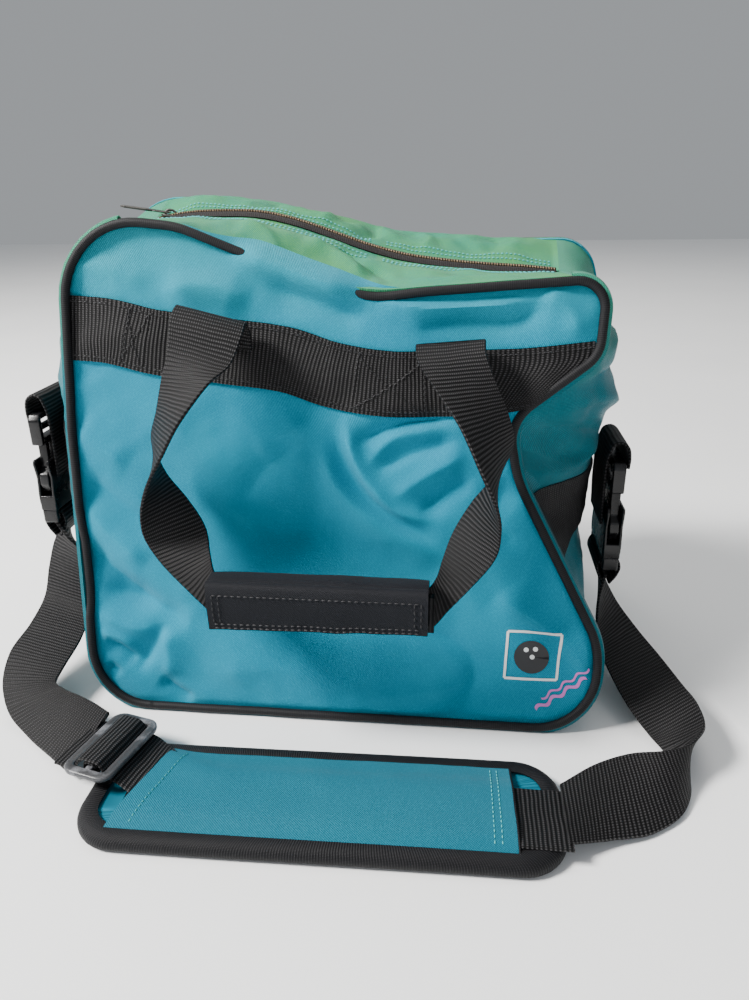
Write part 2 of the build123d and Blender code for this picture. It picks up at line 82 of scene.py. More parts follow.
FRONT_CORNERS = [
    (-152, 0, 38), (-156, 170, 300), (-153, 290, 44), (-85, 283, 60), (20, 247, 70),
    (149, 256, 17), (147, 213, 20), (101, 178, 20), (107, 148, 60), (157, 55, 50), (157, 0, 38),
]
MIDDLE_CORNERS = [
    (-165, 0, 38), (-184, 150, 150), (-168, 285, 50), (-92, 281.5, 60), (20, 263, 70),
    (150, 250, 22), (166, 190, 60), (157, 140, 80), (152, 90, 80), (156, 45, 60), (156, 0, 38),
]
BACK_CORNERS = [
    (-162, 0, 38), (-178, 150, 150), (-153, 296, 42), (-88, 293, 60), (40, 266, 70),
    (152, 266.5, 26), (176, 190, 60), (174, 140, 80), (168, 90, 80), (165, 45, 60), (164, 0, 38),
]
MAIN_CORNERS = (0, 2, 5, 10)       # low left, top left, top right, low right
TOP_LEFT, TOP_RIGHT, LOW_RIGHT = MAIN_CORNERS[1:]
WAIST = (6, 7)              # the two corners where the right edge turns in


class Side(Enum):
    """Which of the two big faces a piece belongs to; the value is its direction along Y."""

    FRONT = -1
    BACK = 1


class Hand(Enum):
    """Left or right as seen from the front; the value is the direction along X."""

    LEFT = -1
    RIGHT = 1


# ---- numbers to meshes ----
def smooth_step(value: Points | float) -> Points | float:
    """Ease a value from 0 to 1.

    Args:
        value: any number or array.

    Returns:
        0 below 0, 1 above 1, and a smooth rise between.
    """
    clipped = np.clip(value, 0.0, 1.0)
    return clipped * clipped * (3 - 2 * clipped)


def spline(points: list, count: int) -> Points:
    """Smooth line through points, spaced evenly by its length.

    Args:
        points: rows of numbers; the first three are a position.
        count: how many rows to return.

    Returns:
        count rows of the same width.
    """
    rows = np.asarray(points, float)
    steps = np.linalg.norm(np.diff(rows[:, :3], axis=0), axis=1)
    chord = np.concatenate([[0.0], np.cumsum(np.maximum(steps, 1e-6))])
    tangents = np.gradient(rows, chord, axis=0)
    where = np.linspace(0, chord[-1], count)
    index = np.clip(np.searchsorted(chord, where, side="right") - 1, 0, len(rows) - 2)
    span = (chord[index + 1] - chord[index])[:, None]
    t = (where - chord[index])[:, None] / span
    return (
        (2 * t**3 - 3 * t**2 + 1) * rows[index] + (t**3 - 2 * t**2 + t) * span * tangents[index]
        + (3 * t**2 - 2 * t**3) * rows[index + 1] + (t**3 - t**2) * span * tangents[index + 1]
    )


def resample(points: Points, count: int) -> Points:
    """Points at even steps along a polyline.

    Args:
        points: rows of coordinates.
        count: how many rows to return.

    Returns:
        count rows, the first and last unchanged.
    """
    chord = lengths(points)
    where = np.linspace(0, chord[-1], count)
    return np.stack([np.interp(where, chord, points[:, i]) for i in range(points.shape[1])], axis=1)


def unit(rows: Points) -> Points:
    """Rows scaled to length one."""
    return rows / np.maximum(np.linalg.norm(rows, axis=-1, keepdims=True), 1e-9)


def lengths(points: Points) -> Points:
    """Distance along a polyline at each of its points."""
    return np.concatenate([[0.0], np.cumsum(np.linalg.norm(np.diff(points, axis=0), axis=1))])


def ripple(x: float, y: float, z: float = 0.0) -> float:
    """Smooth noise between about -1 and 1 at a point."""
    return noise.noise(Vector((x, y, z)))


def ripples(x: Points, y: Points | float, z: Points | float) -> Points:
    """Smooth noise at many points.

    Args:
        x: first coordinates.
        y: second coordinates, or one for all.
        z: third coordinates, or one for all.

    Returns:
        The noise, in the shape of x.
    """
    points = np.stack(np.broadcast_arrays(x, y, z), axis=-1).reshape(-1, 3)
    return np.array([ripple(*point) for point in points]).reshape(np.shape(x))


def window(value: Points, low: float, high: float, ease: float) -> Points:
    """Ease from 0 up to 1 above low and back to 0 below high.

    Args:
        value: any numbers.
        low: where the rise begins.
        high: where the fall ends.
        ease: length of the rise and of the fall.

    Returns:
        A share for each value.
    """
    return smooth_step((value - low) / ease) * smooth_step((high - value) / ease)


def rounded_loop(half_a: float, half_b: float, corner: float, steps: int) -> Points:
    """Rounded rectangle round zero, closed by its first point.

    Args:
        half_a: half its first size.
        half_b: half its second size.
        corner: corner radius.
        steps: points on each corner.

    Returns:
        Rows of (a, b).
    """
    rows = []
    for a, b, turn in ((1, 1, 0), (-1, 1, 90), (-1, -1, 180), (1, -1, 270)):
        for step in range(steps):
            angle = math.radians(turn + 90 * step / (steps - 1))
            along, up = corner * math.cos(angle), corner * math.sin(angle)
            rows.append((a * (half_a - corner) + along, b * (half_b - corner) + up))
    return np.array(rows + rows[:1])


class Loom:
    """Makes closed meshes from grids and loops of points in millimetres."""

    UV = "along"

    @classmethod
    def mesh(cls, name: str, points: Points, faces: list, uv: Points) -> Piece:
        """Turn points and faces into an object in the frame's metres.

        Args:
            name: object name.
            points: vertex rows in millimetres.
            faces: vertex indices of each face.
            uv: one (along, across) pair in millimetres for each vertex.

        Returns:
            The new object, smooth shaded, with its normals outwards.
        """
        data = bpy.data.meshes.new(name)
        data.from_pydata((np.asarray(points) * MM).tolist(), [], faces)
        layer = data.uv_layers.new(name=cls.UV)
        corner = np.empty(len(data.loops), np.int32)
        data.loops.foreach_get("vertex_index", corner)
        layer.data.foreach_set("uv", (np.asarray(uv, float)[corner] * MM).ravel())
        work = bmesh.new()
        work.from_mesh(data)
        bmesh.ops.remove_doubles(work, verts=work.verts, dist=WELD)
        bmesh.ops.recalc_face_normals(work, faces=work.faces)
        return cls.settle(name, work, data)

    @staticmethod
    def settle(name: str, work: bmesh.types.BMesh, data: bpy.types.Mesh, crisp: bool = True) -> Piece:
        """Put a finished shape into a mesh and its object into the scene.

        Args:
            name: object name.
            work: the shape, which is freed.
            data: the mesh it goes into.
            crisp: whether its hard edges are marked.

        Returns:
            The new object, smooth shaded.
        """
        for edge in work.edges if crisp else ():
            edge.smooth = len(edge.link_faces) != 2 or edge.calc_face_angle() < CRISP_ANGLE
        work.to_mesh(data)
        work.free()
        data.polygons.foreach_set("use_smooth", [True] * len(data.polygons))
        piece = bpy.data.objects.new(name, data)
        bpy.context.scene.collection.objects.link(piece)
        return piece

    @classmethod
    def sheet(
        cls, name: str, outer: Points, thickness: float, outward: tuple, round_rows: bool = False,
    ) -> Piece:
        """Closed sheet of even thickness behind a grid of points.

        Args:
            name: object name.
            outer: grid [row, column, 3] of the outer face.
            thickness: millimetres.
            outward: rough direction of the outer face, or the point it faces away from when
                given as (x, y, z, "from").
            round_rows: the last row joins the first.

        Returns:
            The new object.
        """
        rows, columns = outer.shape[:2]
        padded = np.concatenate([outer[-2:-1], outer, outer[1:2]]) if round_rows else outer
        along = np.gradient(padded, axis=0)
        along = along[1:-1] if round_rows else along
        normal = unit(np.cross(along, np.gradient(outer, axis=1)))
        if len(outward) == 4:
            facing = outer - np.array(outward[:3], float)
        else:
            facing = np.broadcast_to(np.array(outward, float), outer.shape)
        if np.sum(normal * facing) < 0:
            normal = -normal
        inner = outer - normal * thickness
        points = np.concatenate([outer.reshape(-1, 3), inner.reshape(-1, 3)])
        half = rows * columns
        faces = []
        for i in range(rows - 1):
            for j in range(columns - 1):
                a, b, c, d = i * columns + j, i * columns + j + 1, (i + 1) * columns + j + 1, (i + 1) * columns + j
                faces.append((a, b, c, d))
                faces.append((half + d, half + c, half + b, half + a))
        edges = [(j, j + 1) for j in range(columns - 1)] if not round_rows else []
        last = (rows - 1) * columns
        edges += [(last + j + 1, last + j) for j in range(columns - 1)] if not round_rows else []
        edges += [((i + 1) * columns, i * columns) for i in range(rows - 1)]
        edges += [(i * columns + columns - 1, (i + 1) * columns + columns - 1) for i in range(rows - 1)]
        faces += [(a, b, half + b, half + a) for a, b in edges]
        u = np.concatenate([[0], np.cumsum(np.linalg.norm(np.diff(outer, axis=0), axis=2).mean(1))])
        v = np.concatenate([[0], np.cumsum(np.linalg.norm(np.diff(outer, axis=1), axis=2).mean(0))])
        uv = np.stack(np.meshgrid(u, v, indexing="ij"), axis=-1).reshape(-1, 2)
        return cls.mesh(name, points, faces, np.concatenate([uv, uv]))

    @classmethod
    def loft(
        cls, name: str, loops: Points, across: Points | None = None, ring: bool = False,
    ) -> Piece:
        """Closed skin over a row of loops with the same number of points.

        Args:
            name: object name.
            loops: [loop, point, 3].
            across: how far round the loop each point lies, in millimetres.
            ring: the last loop joins the first, so there are no end caps.

        Returns:
            The new object.
        """
        count, size = loops.shape[:2]
        faces = []
        for i in range(count if ring else count - 1):
            following = (i + 1) % count
            for j in range(size):
                after = (j + 1) % size
                faces.append((i * size + j, i * size + after, following * size + after, following * size + j))
        if not ring:
            faces.append(tuple(range(size)))
            faces.append(tuple(reversed(range((count - 1) * size, count * size))))
        along = lengths(loops.mean(axis=1))
        if across is None:
            across = lengths(loops[0])
        uv = np.stack(np.meshgrid(along, across, indexing="ij"), axis=-1).reshape(-1, 2)
        return cls.mesh(name, loops.reshape(-1, 3), faces, uv)

    @classmethod
    def ribbon(cls, name: str, first: Points, second: Points, thickness: float, crown: float = 0.0) -> Piece:
        """Flat webbing between two edge lines.

        Args:
            name: object name.
            first: points of one edge.
            second: points of the other edge.
            thickness: millimetres.
            crown: how far the middle bulges.

        Returns:
            The new object.
        """
        middle = (first + second) / 2
        across = unit(second - first)
        width = np.linalg.norm(second - first, axis=1)
        normal = unit(np.cross(np.gradient(middle, axis=0), across))
        face = np.linspace(-0.485, 0.485, 9)
        share = np.concatenate([face, [0.5], face[::-1], [-0.5]])
        height = np.concatenate([np.full(9, 0.5), [0], np.full(9, -0.5), [0]]) * thickness
        bulge = crown * (1 - (2 * share) ** 2)
        loops = (
            middle[:, None] + across[:, None] * (share[None, :, None] * width[:, None, None])
            + normal[:, None] * (height + bulge)[None, :, None]
        )
        return cls.loft(name, loops, share * WEBBING_WIDTH)

    @classmethod
    def strap(cls, name: str, sections: list, width: float, thickness: float, count: int) -> Piece:
        """Flat webbing through (centre, across) sections.

        Args:
            name: object name.
            sections: pairs of a point and a direction across the strap.
            width: millimetres.
            thickness: millimetres.
            count: loops along the strap.

        Returns:
            The new object.
        """
        rows = spline([list(centre) + list(across) for centre, across in sections], count)
        across = unit(rows[:, 3:])
        first, second = rows[:, :3] - across * width / 2, rows[:, :3] + across * width / 2
        return cls.ribbon(name, first, second, thickness)

    @classmethod
    def tube(cls, name: str, path: Points, radius: float, ring: bool = False, sides: int = 10) -> Piece:
        """Round cord along a path.

        Args:
            name: object name.
            path: points of the centre line.
            radius: millimetres.
            ring: the path is closed.
            sides: points round the section.

        Returns:
            The new object.
        """
        closed = np.concatenate([path[-1:], path, path[:1]]) if ring else path
        tangent = unit(np.gradient(closed, axis=0))
        tangent = tangent[1:-1] if ring else tangent
        side = unit(np.cross(tangent, np.array([0.03, 1.0, 0.02])))
        up = np.cross(side, tangent)
        angle = np.linspace(0, 2 * math.pi, sides, endpoint=False)
        loops = (
            path[:, None] + side[:, None] * (np.cos(angle) * radius)[None, :, None]
            + up[:, None] * (np.sin(angle) * radius)[None, :, None]
        )
        return cls.loft(name, loops, angle * radius, ring)

    @classmethod
    def stitches(cls, name: str, lines: list, facing: tuple, pitch: float = 3.2, radius: float = 0.45) -> Piece:
        """Rows of raised thread stitches.

        Args:
            name: object name.
            lines: one array of points for each row.
            facing: direction the thread stands up in.
            pitch: length of a stitch and its gap.
            radius: half the thread's thickness.

        Returns:
            The new object.
        """
        points, faces = [], []
        up = unit(np.array(facing, float))
        for line in lines:
            total = lengths(np.asarray(line, float))[-1]
            marks = resample(np.asarray(line, float), max(3, int(total / pitch) * 2 + 1))
            for i in range(0, len(marks) - 1, 2):
                start, end = marks[i], marks[i] + (marks[i + 1] - marks[i]) * 1.3
                side = unit(np.cross(end - start, up))
                base = len(points)
                points.append(start)
                for share in (0.25, 0.75):
                    centre = start + (end - start) * share
                    for a, b in ((1, 0), (0, 1), (-1, 0), (0, -1)):
                        points.append(centre + side * a * radius + up * b * radius)
                points.append(end)
                for k in range(4):
                    after = (k + 1) % 4
                    faces.append((base, base + 1 + after, base + 1 + k))
                    faces.append((base + 1 + k, base + 1 + after, base + 5 + after, base + 5 + k))
                    faces.append((base + 9, base + 5 + k, base + 5 + after))
        rows = np.array(points)
        return cls.mesh(name, rows, faces, rows[:, :2])

    @classmethod
    def block(
        cls, name: str, outline: list, low: float, high: float, axes: Points, origin: Points,
        bevel: float = 0.8,
    ) -> Piece:
        """Moulded plate: an outline with softened edges.

        Args:
            name: object name.
            outline: (u, v) corners.
            low: height of its underside.
            high: height of its top.
            axes: rows u, v, w of the plate's own directions.
            origin: where u, v and w are zero.
            bevel: how far the edges are rounded.

        Returns:
            The new object.
        """
        work = bmesh.new()
        corners = [origin + axes[0] * u + axes[1] * v + axes[2] * low for u, v in outline]
        face = work.faces.new([work.verts.new(Vector(c * MM)) for c in corners])
        lifted = bmesh.ops.extrude_face_region(work, geom=[face])
        shift = Vector(axes[2] * (high - low) * MM)
        bmesh.ops.translate(work, verts=[g for g in lifted["geom"] if isinstance(g, bmesh.types.BMVert)], vec=shift)
        bmesh.ops.recalc_face_normals(work, faces=work.faces)
        if bevel:
            bmesh.ops.bevel(
                work, geom=list(work.edges), offset=bevel * MM, segments=3, profile=0.6, affect="EDGES",
            )
        return cls.settle(name, work, bpy.data.meshes.new(name))

    @classmethod
    def join(cls, name: str, pieces: list) -> Piece:
        """Merge several objects into one mesh.

        Args:
            name: name of the result.
            pieces: objects to merge; they are removed.

        Returns:
            The merged object.
        """
        work = bmesh.new()
        for piece in pieces:
            work.from_mesh(piece.data)
            bpy.data.objects.remove(piece)
        return cls.settle(name, work, bpy.data.meshes.new(name), crisp=False)


def place(piece: Piece, body: str, finish: "Finish", slot: str, *nodes: str) -> Piece:
    """Dress a piece, set it riding on a body and let it stand for its CAD nodes.

    Args:
        piece: the object.
        body: name of the body it moves with.
        finish: its finish.
        slot: the record's material slot.
        nodes: CAD nodes it stands for.

    Returns:
        The same object.
    """
    piece.data.materials.append(finish.material())
    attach(piece, body)
    return claim(piece, slot, *nodes)


def claim(piece: Piece, slot: str, *nodes: str) -> Piece:
    """Hide the CAD nodes a piece stands for, and log it.

    Args:
        piece: the object.
        slot: the record's material slot; not used.
        nodes: CAD nodes it stands for.

    Returns:
        The same object.
    """
    if nodes:
        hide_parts(*nodes)
    LOG.info("piece %s (%d faces)", piece.name, len(piece.data.polygons))
    return piece


# ---- finishes ----
class Wiring:
    """A material's node tree while it is being wired."""

    def __init__(self, name: str) -> None:
        """Start a material with one Principled surface.

        Args:
            name: the material's name.
        """
        self.material = bpy.data.materials.new(name)
        self.material.use_nodes = True
        self.nodes = self.material.node_tree.nodes
        self.links = self.material.node_tree.links
        self.surface = self.nodes["Principled BSDF"]

    def node(self, kind: str, inputs: dict | None = None, **settings: object) -> bpy.types.Node:
        """Add a node.

        Args:
            kind: node type.
            inputs: values or sockets for its inputs, by name or index.
            settings: attributes of the node.

        Returns:
            The node.
        """
        made = self.nodes.new(kind)
        for key, value in settings.items():
            setattr(made, key, value)
        for key, value in (inputs or {}).items():
            if isinstance(value, Socket):
                self.links.new(value, made.inputs[key])
            else:
                made.inputs[key].default_value = value
        return made

    def along(self) -> Socket:
        """Position on the cloth in metres, along and across."""
        return self.node("ShaderNodeUVMap", uv_map=Loom.UV).outputs["UV"]

    def place_in_frame(self) -> Socket:
        """Position in the object's own axes in metres."""
        return self.node("ShaderNodeTexCoord").outputs["Object"]

    def split(self, vector: Socket) -> bpy.types.Node:
        """Components of a vector."""
        return self.node("ShaderNodeSeparateXYZ", {0: vector})

    def maths(self, operation: str, first: object, second: object = 0.0) -> Socket:
        """One arithmetic step on two values or sockets."""
        return self.node("ShaderNodeMath", {0: first, 1: second}, operation=operation).outputs[0]

    def stripes(self, coordinate: Socket, pitch: float) -> Socket:
        """Rounded stripes from 0 to 1, one every pitch metres."""
        wave = self.maths("SINE", self.maths("MULTIPLY", coordinate, 2 * math.pi / pitch))
        return self.maths("ADD", self.maths("MULTIPLY", wave, 0.5), 0.5)

    def mottle(self, vector: Socket, scale: float, detail: float = 3.0) -> Socket:
        """Cloudy noise from 0 to 1."""
        inputs = {"Vector": vector, "Scale": scale, "Detail": detail, "Roughness": 0.55}
        return self.node("ShaderNodeTexNoise", inputs).outputs[0]

    def ramp(self, factor: Socket, stops: list) -> Socket:
        """Colours by position.

        Args:
            factor: where to read them.
            stops: (position, colour) pairs.

        Returns:
            The colour.
        """
        made = self.node("ShaderNodeValToRGB", {0: factor})
        ladder = made.color_ramp.elements
        while len(ladder) < len(stops):
            ladder.new(0.5)
        for element, (position, colour) in zip(ladder, stops):
            element.position = position
            element.color = (*colour, 1.0)
        return made.outputs[0]

    def blend(self, factor: object, first: object, second: object) -> Socket:
        """Mix of two colours, each a tuple or a socket."""
        pair = [value if isinstance(value, Socket) else (*value, 1.0) for value in (first, second)]
        return self.node("ShaderNodeMix", {0: factor, 6: pair[0], 7: pair[1]}, data_type="RGBA").outputs[2]

    def relief(self, height: Socket, distance: float, strength: float = 1.0) -> None:
        """Drive the surface's bump from a height in metres times distance."""
        made = self.node("ShaderNodeBump", {"Height": height, "Distance": distance, "Strength": strength})
        self.links.new(made.outputs[0], self.surface.inputs["Normal"])

    def colour(self, socket: Socket) -> None:
        """Drive the surface's colour."""
        self.links.new(socket, self.surface.inputs["Base Color"])

    def roughness(self, factor: Socket, low: float, high: float) -> None:
        """Drive the surface's roughness between two values."""
        made = self.node("ShaderNodeMapRange", {0: factor, 1: 0.0, 2: 1.0, 3: low, 4: high})
        self.links.new(made.outputs[0], self.surface.inputs["Roughness"])

    def fix(self, **values: float) -> None:
        """Set constants on the surface's own sockets; underscores stand for spaces."""
        for key, value in values.items():
            self.surface.inputs[key.replace("_", " ")].default_value = value


@dataclass(frozen=True)
class Finish:
    """A named finish, wired once and shared."""

    name: str

    def material(self) -> bpy.types.Material:
        """The finish's material, made the first time it is asked for."""
        if self.name not in bpy.data.materials:
            self.wire(Wiring(self.name))
        return bpy.data.materials[self.name]

    def wire(self, wiring: Wiring) -> None:
        """Wire the material; each kind of finish has its own way."""


def shade(colour: tuple, factor: float) -> tuple:
    """A colour made darker or lighter."""
    return tuple(min(1.0, c * factor) for c in colour)


@dataclass(frozen=True)
class Nylon(Finish):
    """Coated twill nylon, faded in patches, with a fine diagonal weave."""

    colour: tuple
    faded: tuple
    weave: float = 0.0013
    gloss: float = 0.5
    fade_share: float = 0.5
    # Painted light: the lighter colour the cloth turns to between the two heights below, in metres, for the light
    # falling on the bag's upper faces.
    top_light_tint: tuple = ()
    top_light_low: float = 0.190
    top_light_high: float = 0.262

    def wire(self, wiring: Wiring) -> None:
        """Weave with painted shade in its valleys, fading, painted glints, a painted lighter tint towards the top and a
        soft sheen.

        Args:
            wiring: the tree to fill.
        """
        cloth = wiring.along()
        part = wiring.split(cloth)
        diagonal = wiring.maths("ADD", part.outputs[0], wiring.maths("MULTIPLY", part.outputs[1], 1.25))
        counter = wiring.maths("SUBTRACT", part.outputs[0], wiring.maths("MULTIPLY", part.outputs[1], 0.7))
        twill = wiring.stripes(diagonal, self.weave)
        yarn = wiring.stripes(counter, self.weave * 0.8)
        weave = wiring.maths("MULTIPLY", twill, wiring.maths("ADD", wiring.maths("MULTIPLY", yarn, 0.5), 0.5))
        cloud = wiring.mottle(cloth, 14.0)
        fleck = wiring.mottle(cloth, 900.0, 2.0)
        fading = wiring.ramp(cloud, [(0.25, (0, 0, 0)), (0.85, (self.fade_share,) * 3)])
        base = wiring.blend(fading, self.colour, self.faded)
        # Painted light: between two heights the colour blends to a lighter tint, for the light on the upper faces.
        if self.top_light_tint:
            height = wiring.split(wiring.place_in_frame()).outputs[2]
            reach = wiring.maths("ADD", height, wiring.maths("MULTIPLY", cloud, 0.05))
            inputs = {0: reach, 1: self.top_light_low, 2: self.top_light_high, 3: 0.0, 4: 1.0}
            base = wiring.blend(wiring.node("ShaderNodeMapRange", inputs).outputs[0], base, self.top_light_tint)
        # Painted shade: the valleys between the threads of the weave are darkened.
        valley_shade = wiring.blend(0.6, base, shade(self.colour, 0.2))
        threaded = wiring.blend(wiring.maths("MULTIPLY", weave, 1.15), valley_shade, base)
        # Painted glints: fine flecks blended towards a lighter colour.
        sparkle = wiring.ramp(fleck, [(0.45, (0, 0, 0)), (0.8, (0.28,) * 3)])
        wiring.colour(wiring.blend(sparkle, threaded, shade(self.faded, 1.25)))
        wiring.roughness(cloud, self.gloss - 0.06, self.gloss + 0.12)
        height = wiring.maths("ADD", weave, wiring.maths("MULTIPLY", wiring.mottle(cloth, 260.0), 0.8))
        wiring.relief(height, 0.00026, 0.9)
        wiring.fix(Sheen_Weight=0.06, Sheen_Roughness=0.4, Specular_IOR_Level=0.12)


@dataclass(frozen=True)
class Ribbed(Finish):
    """Woven strap or tape whose ribs run across its length."""

    colour: tuple
    # The lighter colour painted on the rib crowns as their highlight.
    thread: tuple
    pitch: float = 0.0022
    rib_depth: float = 0.00045
    gloss: float = 0.55

    def wire(self, wiring: Wiring) -> None:
        """Ribs, the threads that cross them, a painted highlight on their crowns and painted glints on them.

        Args:
            wiring: the tree to fill.
        """
        cloth = wiring.along()
        part = wiring.split(cloth)
        drift = wiring.maths("MULTIPLY", wiring.mottle(cloth, 60.0, 1.0), self.pitch * 0.5)
        rib = wiring.stripes(wiring.maths("ADD", part.outputs[0], drift), self.pitch)
        thread = wiring.stripes(part.outputs[1], self.pitch * 0.55)
        crown = wiring.maths("MULTIPLY", rib, wiring.maths("ADD", wiring.maths("MULTIPLY", thread, 0.7), 0.3))
        cloud = wiring.mottle(cloth, 30.0)
        # Painted highlight: the crowns of the ribs blend towards the lighter colour.
        highlight_and_wear = wiring.maths("MULTIPLY", wiring.maths("POWER", crown, 2.2), wiring.maths("ADD", cloud, 0.7))
        # Painted glints: light specks on the crowns of the ribs.
        crown_glints = wiring.ramp(wiring.mottle(cloth, 1300.0, 1.0), [(0.66, (0, 0, 0)), (0.78, (0.5,) * 3)])
        base = wiring.blend(highlight_and_wear, self.colour, self.thread)
        wiring.colour(wiring.blend(wiring.maths("MULTIPLY", crown_glints, crown), base, shade(self.thread, 2.2)))
        wiring.roughness(cloud, self.gloss - 0.1, self.gloss + 0.15)
        wiring.relief(crown, self.rib_depth, 1.0)
        wiring.fix(Sheen_Weight=0.0, Specular_IOR_Level=0.18)


@dataclass(frozen=True)
class Plastic(Finish):
    """Moulded plastic with handling marks and scuffed edges."""

    colour: tuple
    scuff: tuple
    gloss: float = 0.22
    scuff_share: float = 0.3

    def wire(self, wiring: Wiring) -> None:
        """Smears, fine grain and pale scuffs.

        Args:
            wiring: the tree to fill.
        """
        where = wiring.place_in_frame()
        smear = wiring.mottle(where, 90.0)
        grain = wiring.mottle(where, 1400.0, 2.0)
        edge = wiring.node("ShaderNodeNewGeometry").outputs["Pointiness"]
        rim = wiring.ramp(edge, [(0.5, (0, 0, 0)), (0.62, (self.scuff_share,) * 3)])
        chips = wiring.ramp(smear, [(0.52, (0, 0, 0)), (0.7, (self.scuff_share,) * 3)])
        highlight_and_wear = wiring.maths("MULTIPLY", wiring.maths("ADD", rim, chips), grain)
        wiring.colour(wiring.blend(highlight_and_wear, self.colour, self.scuff))
        wiring.roughness(smear, self.gloss - 0.05, self.gloss + 0.25)
        wiring.relief(wiring.maths("ADD", grain, smear), 0.00006, 0.6)
        wiring.fix(Specular_IOR_Level=0.32)


@dataclass(frozen=True)
class Coil(Finish):
    """Zipper coil: bronze turns one after the other."""

    colour: tuple
    gap: tuple
    pitch: float = 0.0016

    def wire(self, wiring: Wiring) -> None:
        """Turns of the coil with dark gaps.

        Args:
            wiring: the tree to fill.
        """
        part = wiring.split(wiring.along())
        turn = wiring.stripes(part.outputs[0], self.pitch)
        cloud = wiring.mottle(wiring.along(), 80.0)
        tone = wiring.blend(cloud, self.colour, shade(self.colour, 0.5))
        wiring.colour(wiring.blend(wiring.maths("POWER", turn, 0.7), self.gap, tone))
        wiring.roughness(cloud, 0.3, 0.5)
        wiring.relief(turn, 0.0005, 1.0)
        wiring.fix(Metallic=0.55, Specular_IOR_Level=0.5)


@dataclass(frozen=True)
class Plain(Finish):
    """Board, foam, print or a painted floor with a little grain."""

    colour: tuple
    grain: float = 400.0
    depth: float = 0.0002
    gloss: float = 0.7
    contrast: float = 0.15

    def wire(self, wiring: Wiring) -> None:
        """Grain in colour, roughness and relief.

        Args:
            wiring: the tree to fill.
        """
        where = wiring.place_in_frame()
        cloud = wiring.mottle(where, self.grain)
        wiring.colour(wiring.blend(cloud, shade(self.colour, 1 - self.contrast), shade(self.colour, 1 + self.contrast)))
        wiring.roughness(cloud, self.gloss - 0.1, self.gloss + 0.1)
        wiring.relief(cloud, self.depth, 0.6)


# The panels' teal, painted lighter towards their tops as painted light.
TEAL = Nylon(
    "teal twill nylon", (0.0003, 0.270, 0.430), (0.003, 0.430, 0.610), top_light_tint=(0.050, 0.420, 0.400), top_light_low=0.245,
    top_light_high=0.370,
)
# Painted shade: the gussets get a darker copy of the teal because they sit in shade, and a lighter yellow-green painted
# towards their tops.
TEAL_SIDE = Nylon(
    "teal side nylon", (0.0008, 0.125, 0.165), (0.006, 0.240, 0.290), gloss=0.34, top_light_tint=(0.060, 0.380, 0.200),
    top_light_low=0.225, top_light_high=0.285,
)
# Painted light: the cloth beside the zipper is a lighter yellow-green copy of the teal, mottled, for the light and
# yellow reflection falling on the top.
TEAL_TOP = Nylon("sun faded top nylon", (0.003, 0.290, 0.230), (0.130, 0.420, 0.050), fade_share=0.95)
TEAL_PAD = Nylon("teal pad nylon", (0.0005, 0.140, 0.215), (0.006, 0.215, 0.300))
# The second colour of each ribbed finish below is painted on the rib crowns as their highlight.
STRAP = Ribbed("black strap webbing", (0.0006, 0.0006, 0.0008), (0.056, 0.054, 0.057))
GROSGRAIN = Ribbed(
    "black grosgrain binding", (0.002, 0.002, 0.003), (0.026, 0.026, 0.029), pitch=0.0013, rib_depth=0.0002,
)
PIPING = Ribbed("black piping", (0.004, 0.004, 0.005), (0.028, 0.028, 0.031), pitch=0.0011, rib_depth=0.0001)
WRAP = Nylon("charcoal wrap nylon", (0.007, 0.008, 0.011), (0.024, 0.025, 0.032), weave=0.0012, gloss=0.55)
TAPE = Ribbed("black zipper tape", (0.006, 0.005, 0.006), (0.035, 0.028, 0.026), pitch=0.0012, rib_depth=0.0002)
COIL = Coil("bronze zipper coil", (0.240, 0.160, 0.085), (0.015, 0.012, 0.010))
METAL = Plastic("black zipper metal", (0.020, 0.019, 0.018), (0.300, 0.270, 0.220), gloss=0.3)
BUCKLE = Plastic("glossy buckle plastic", (0.0015, 0.0015, 0.002), (0.050, 0.050, 0.056), gloss=0.16, scuff_share=0.2)
GLIDE = Plastic("worn adjuster plastic", (0.008, 0.008, 0.008), (0.420, 0.430, 0.470), gloss=0.22, scuff_share=0.6)
FUZZ = Plain("hook and loop strip", (0.020, 0.020, 0.024), grain=1200.0, depth=0.0008, gloss=0.85, contrast=0.5)
BOARD = Plain("grey base board", (0.120, 0.120, 0.115), grain=300.0)
FOAM = Plain("black foam", (0.030, 0.030, 0.032), grain=700.0, depth=0.0006, gloss=0.9, contrast=0.4)
THREAD_TEAL = Plain("teal thread", (0.060, 0.420, 0.430), grain=900.0, contrast=0.3)
THREAD_BLACK = Plain("black thread", (0.012, 0.012, 0.014), grain=900.0, contrast=0.4)
PRINT_WHITE = Plain("white ink", (0.720, 0.740, 0.740), grain=900.0, contrast=0.06, gloss=0.5)
PRINT_PINK = Plain("pink ink", (0.560, 0.180, 0.520), grain=900.0, contrast=0.1, gloss=0.5)
PRINT_BLACK = Plain("black ink", (0.012, 0.012, 0.014), grain=900.0, contrast=0.2, gloss=0.45)
FLOOR = Plain("pale floor", (0.930, 0.935, 0.940), grain=6.0, depth=0.0, gloss=0.5, contrast=0.015)


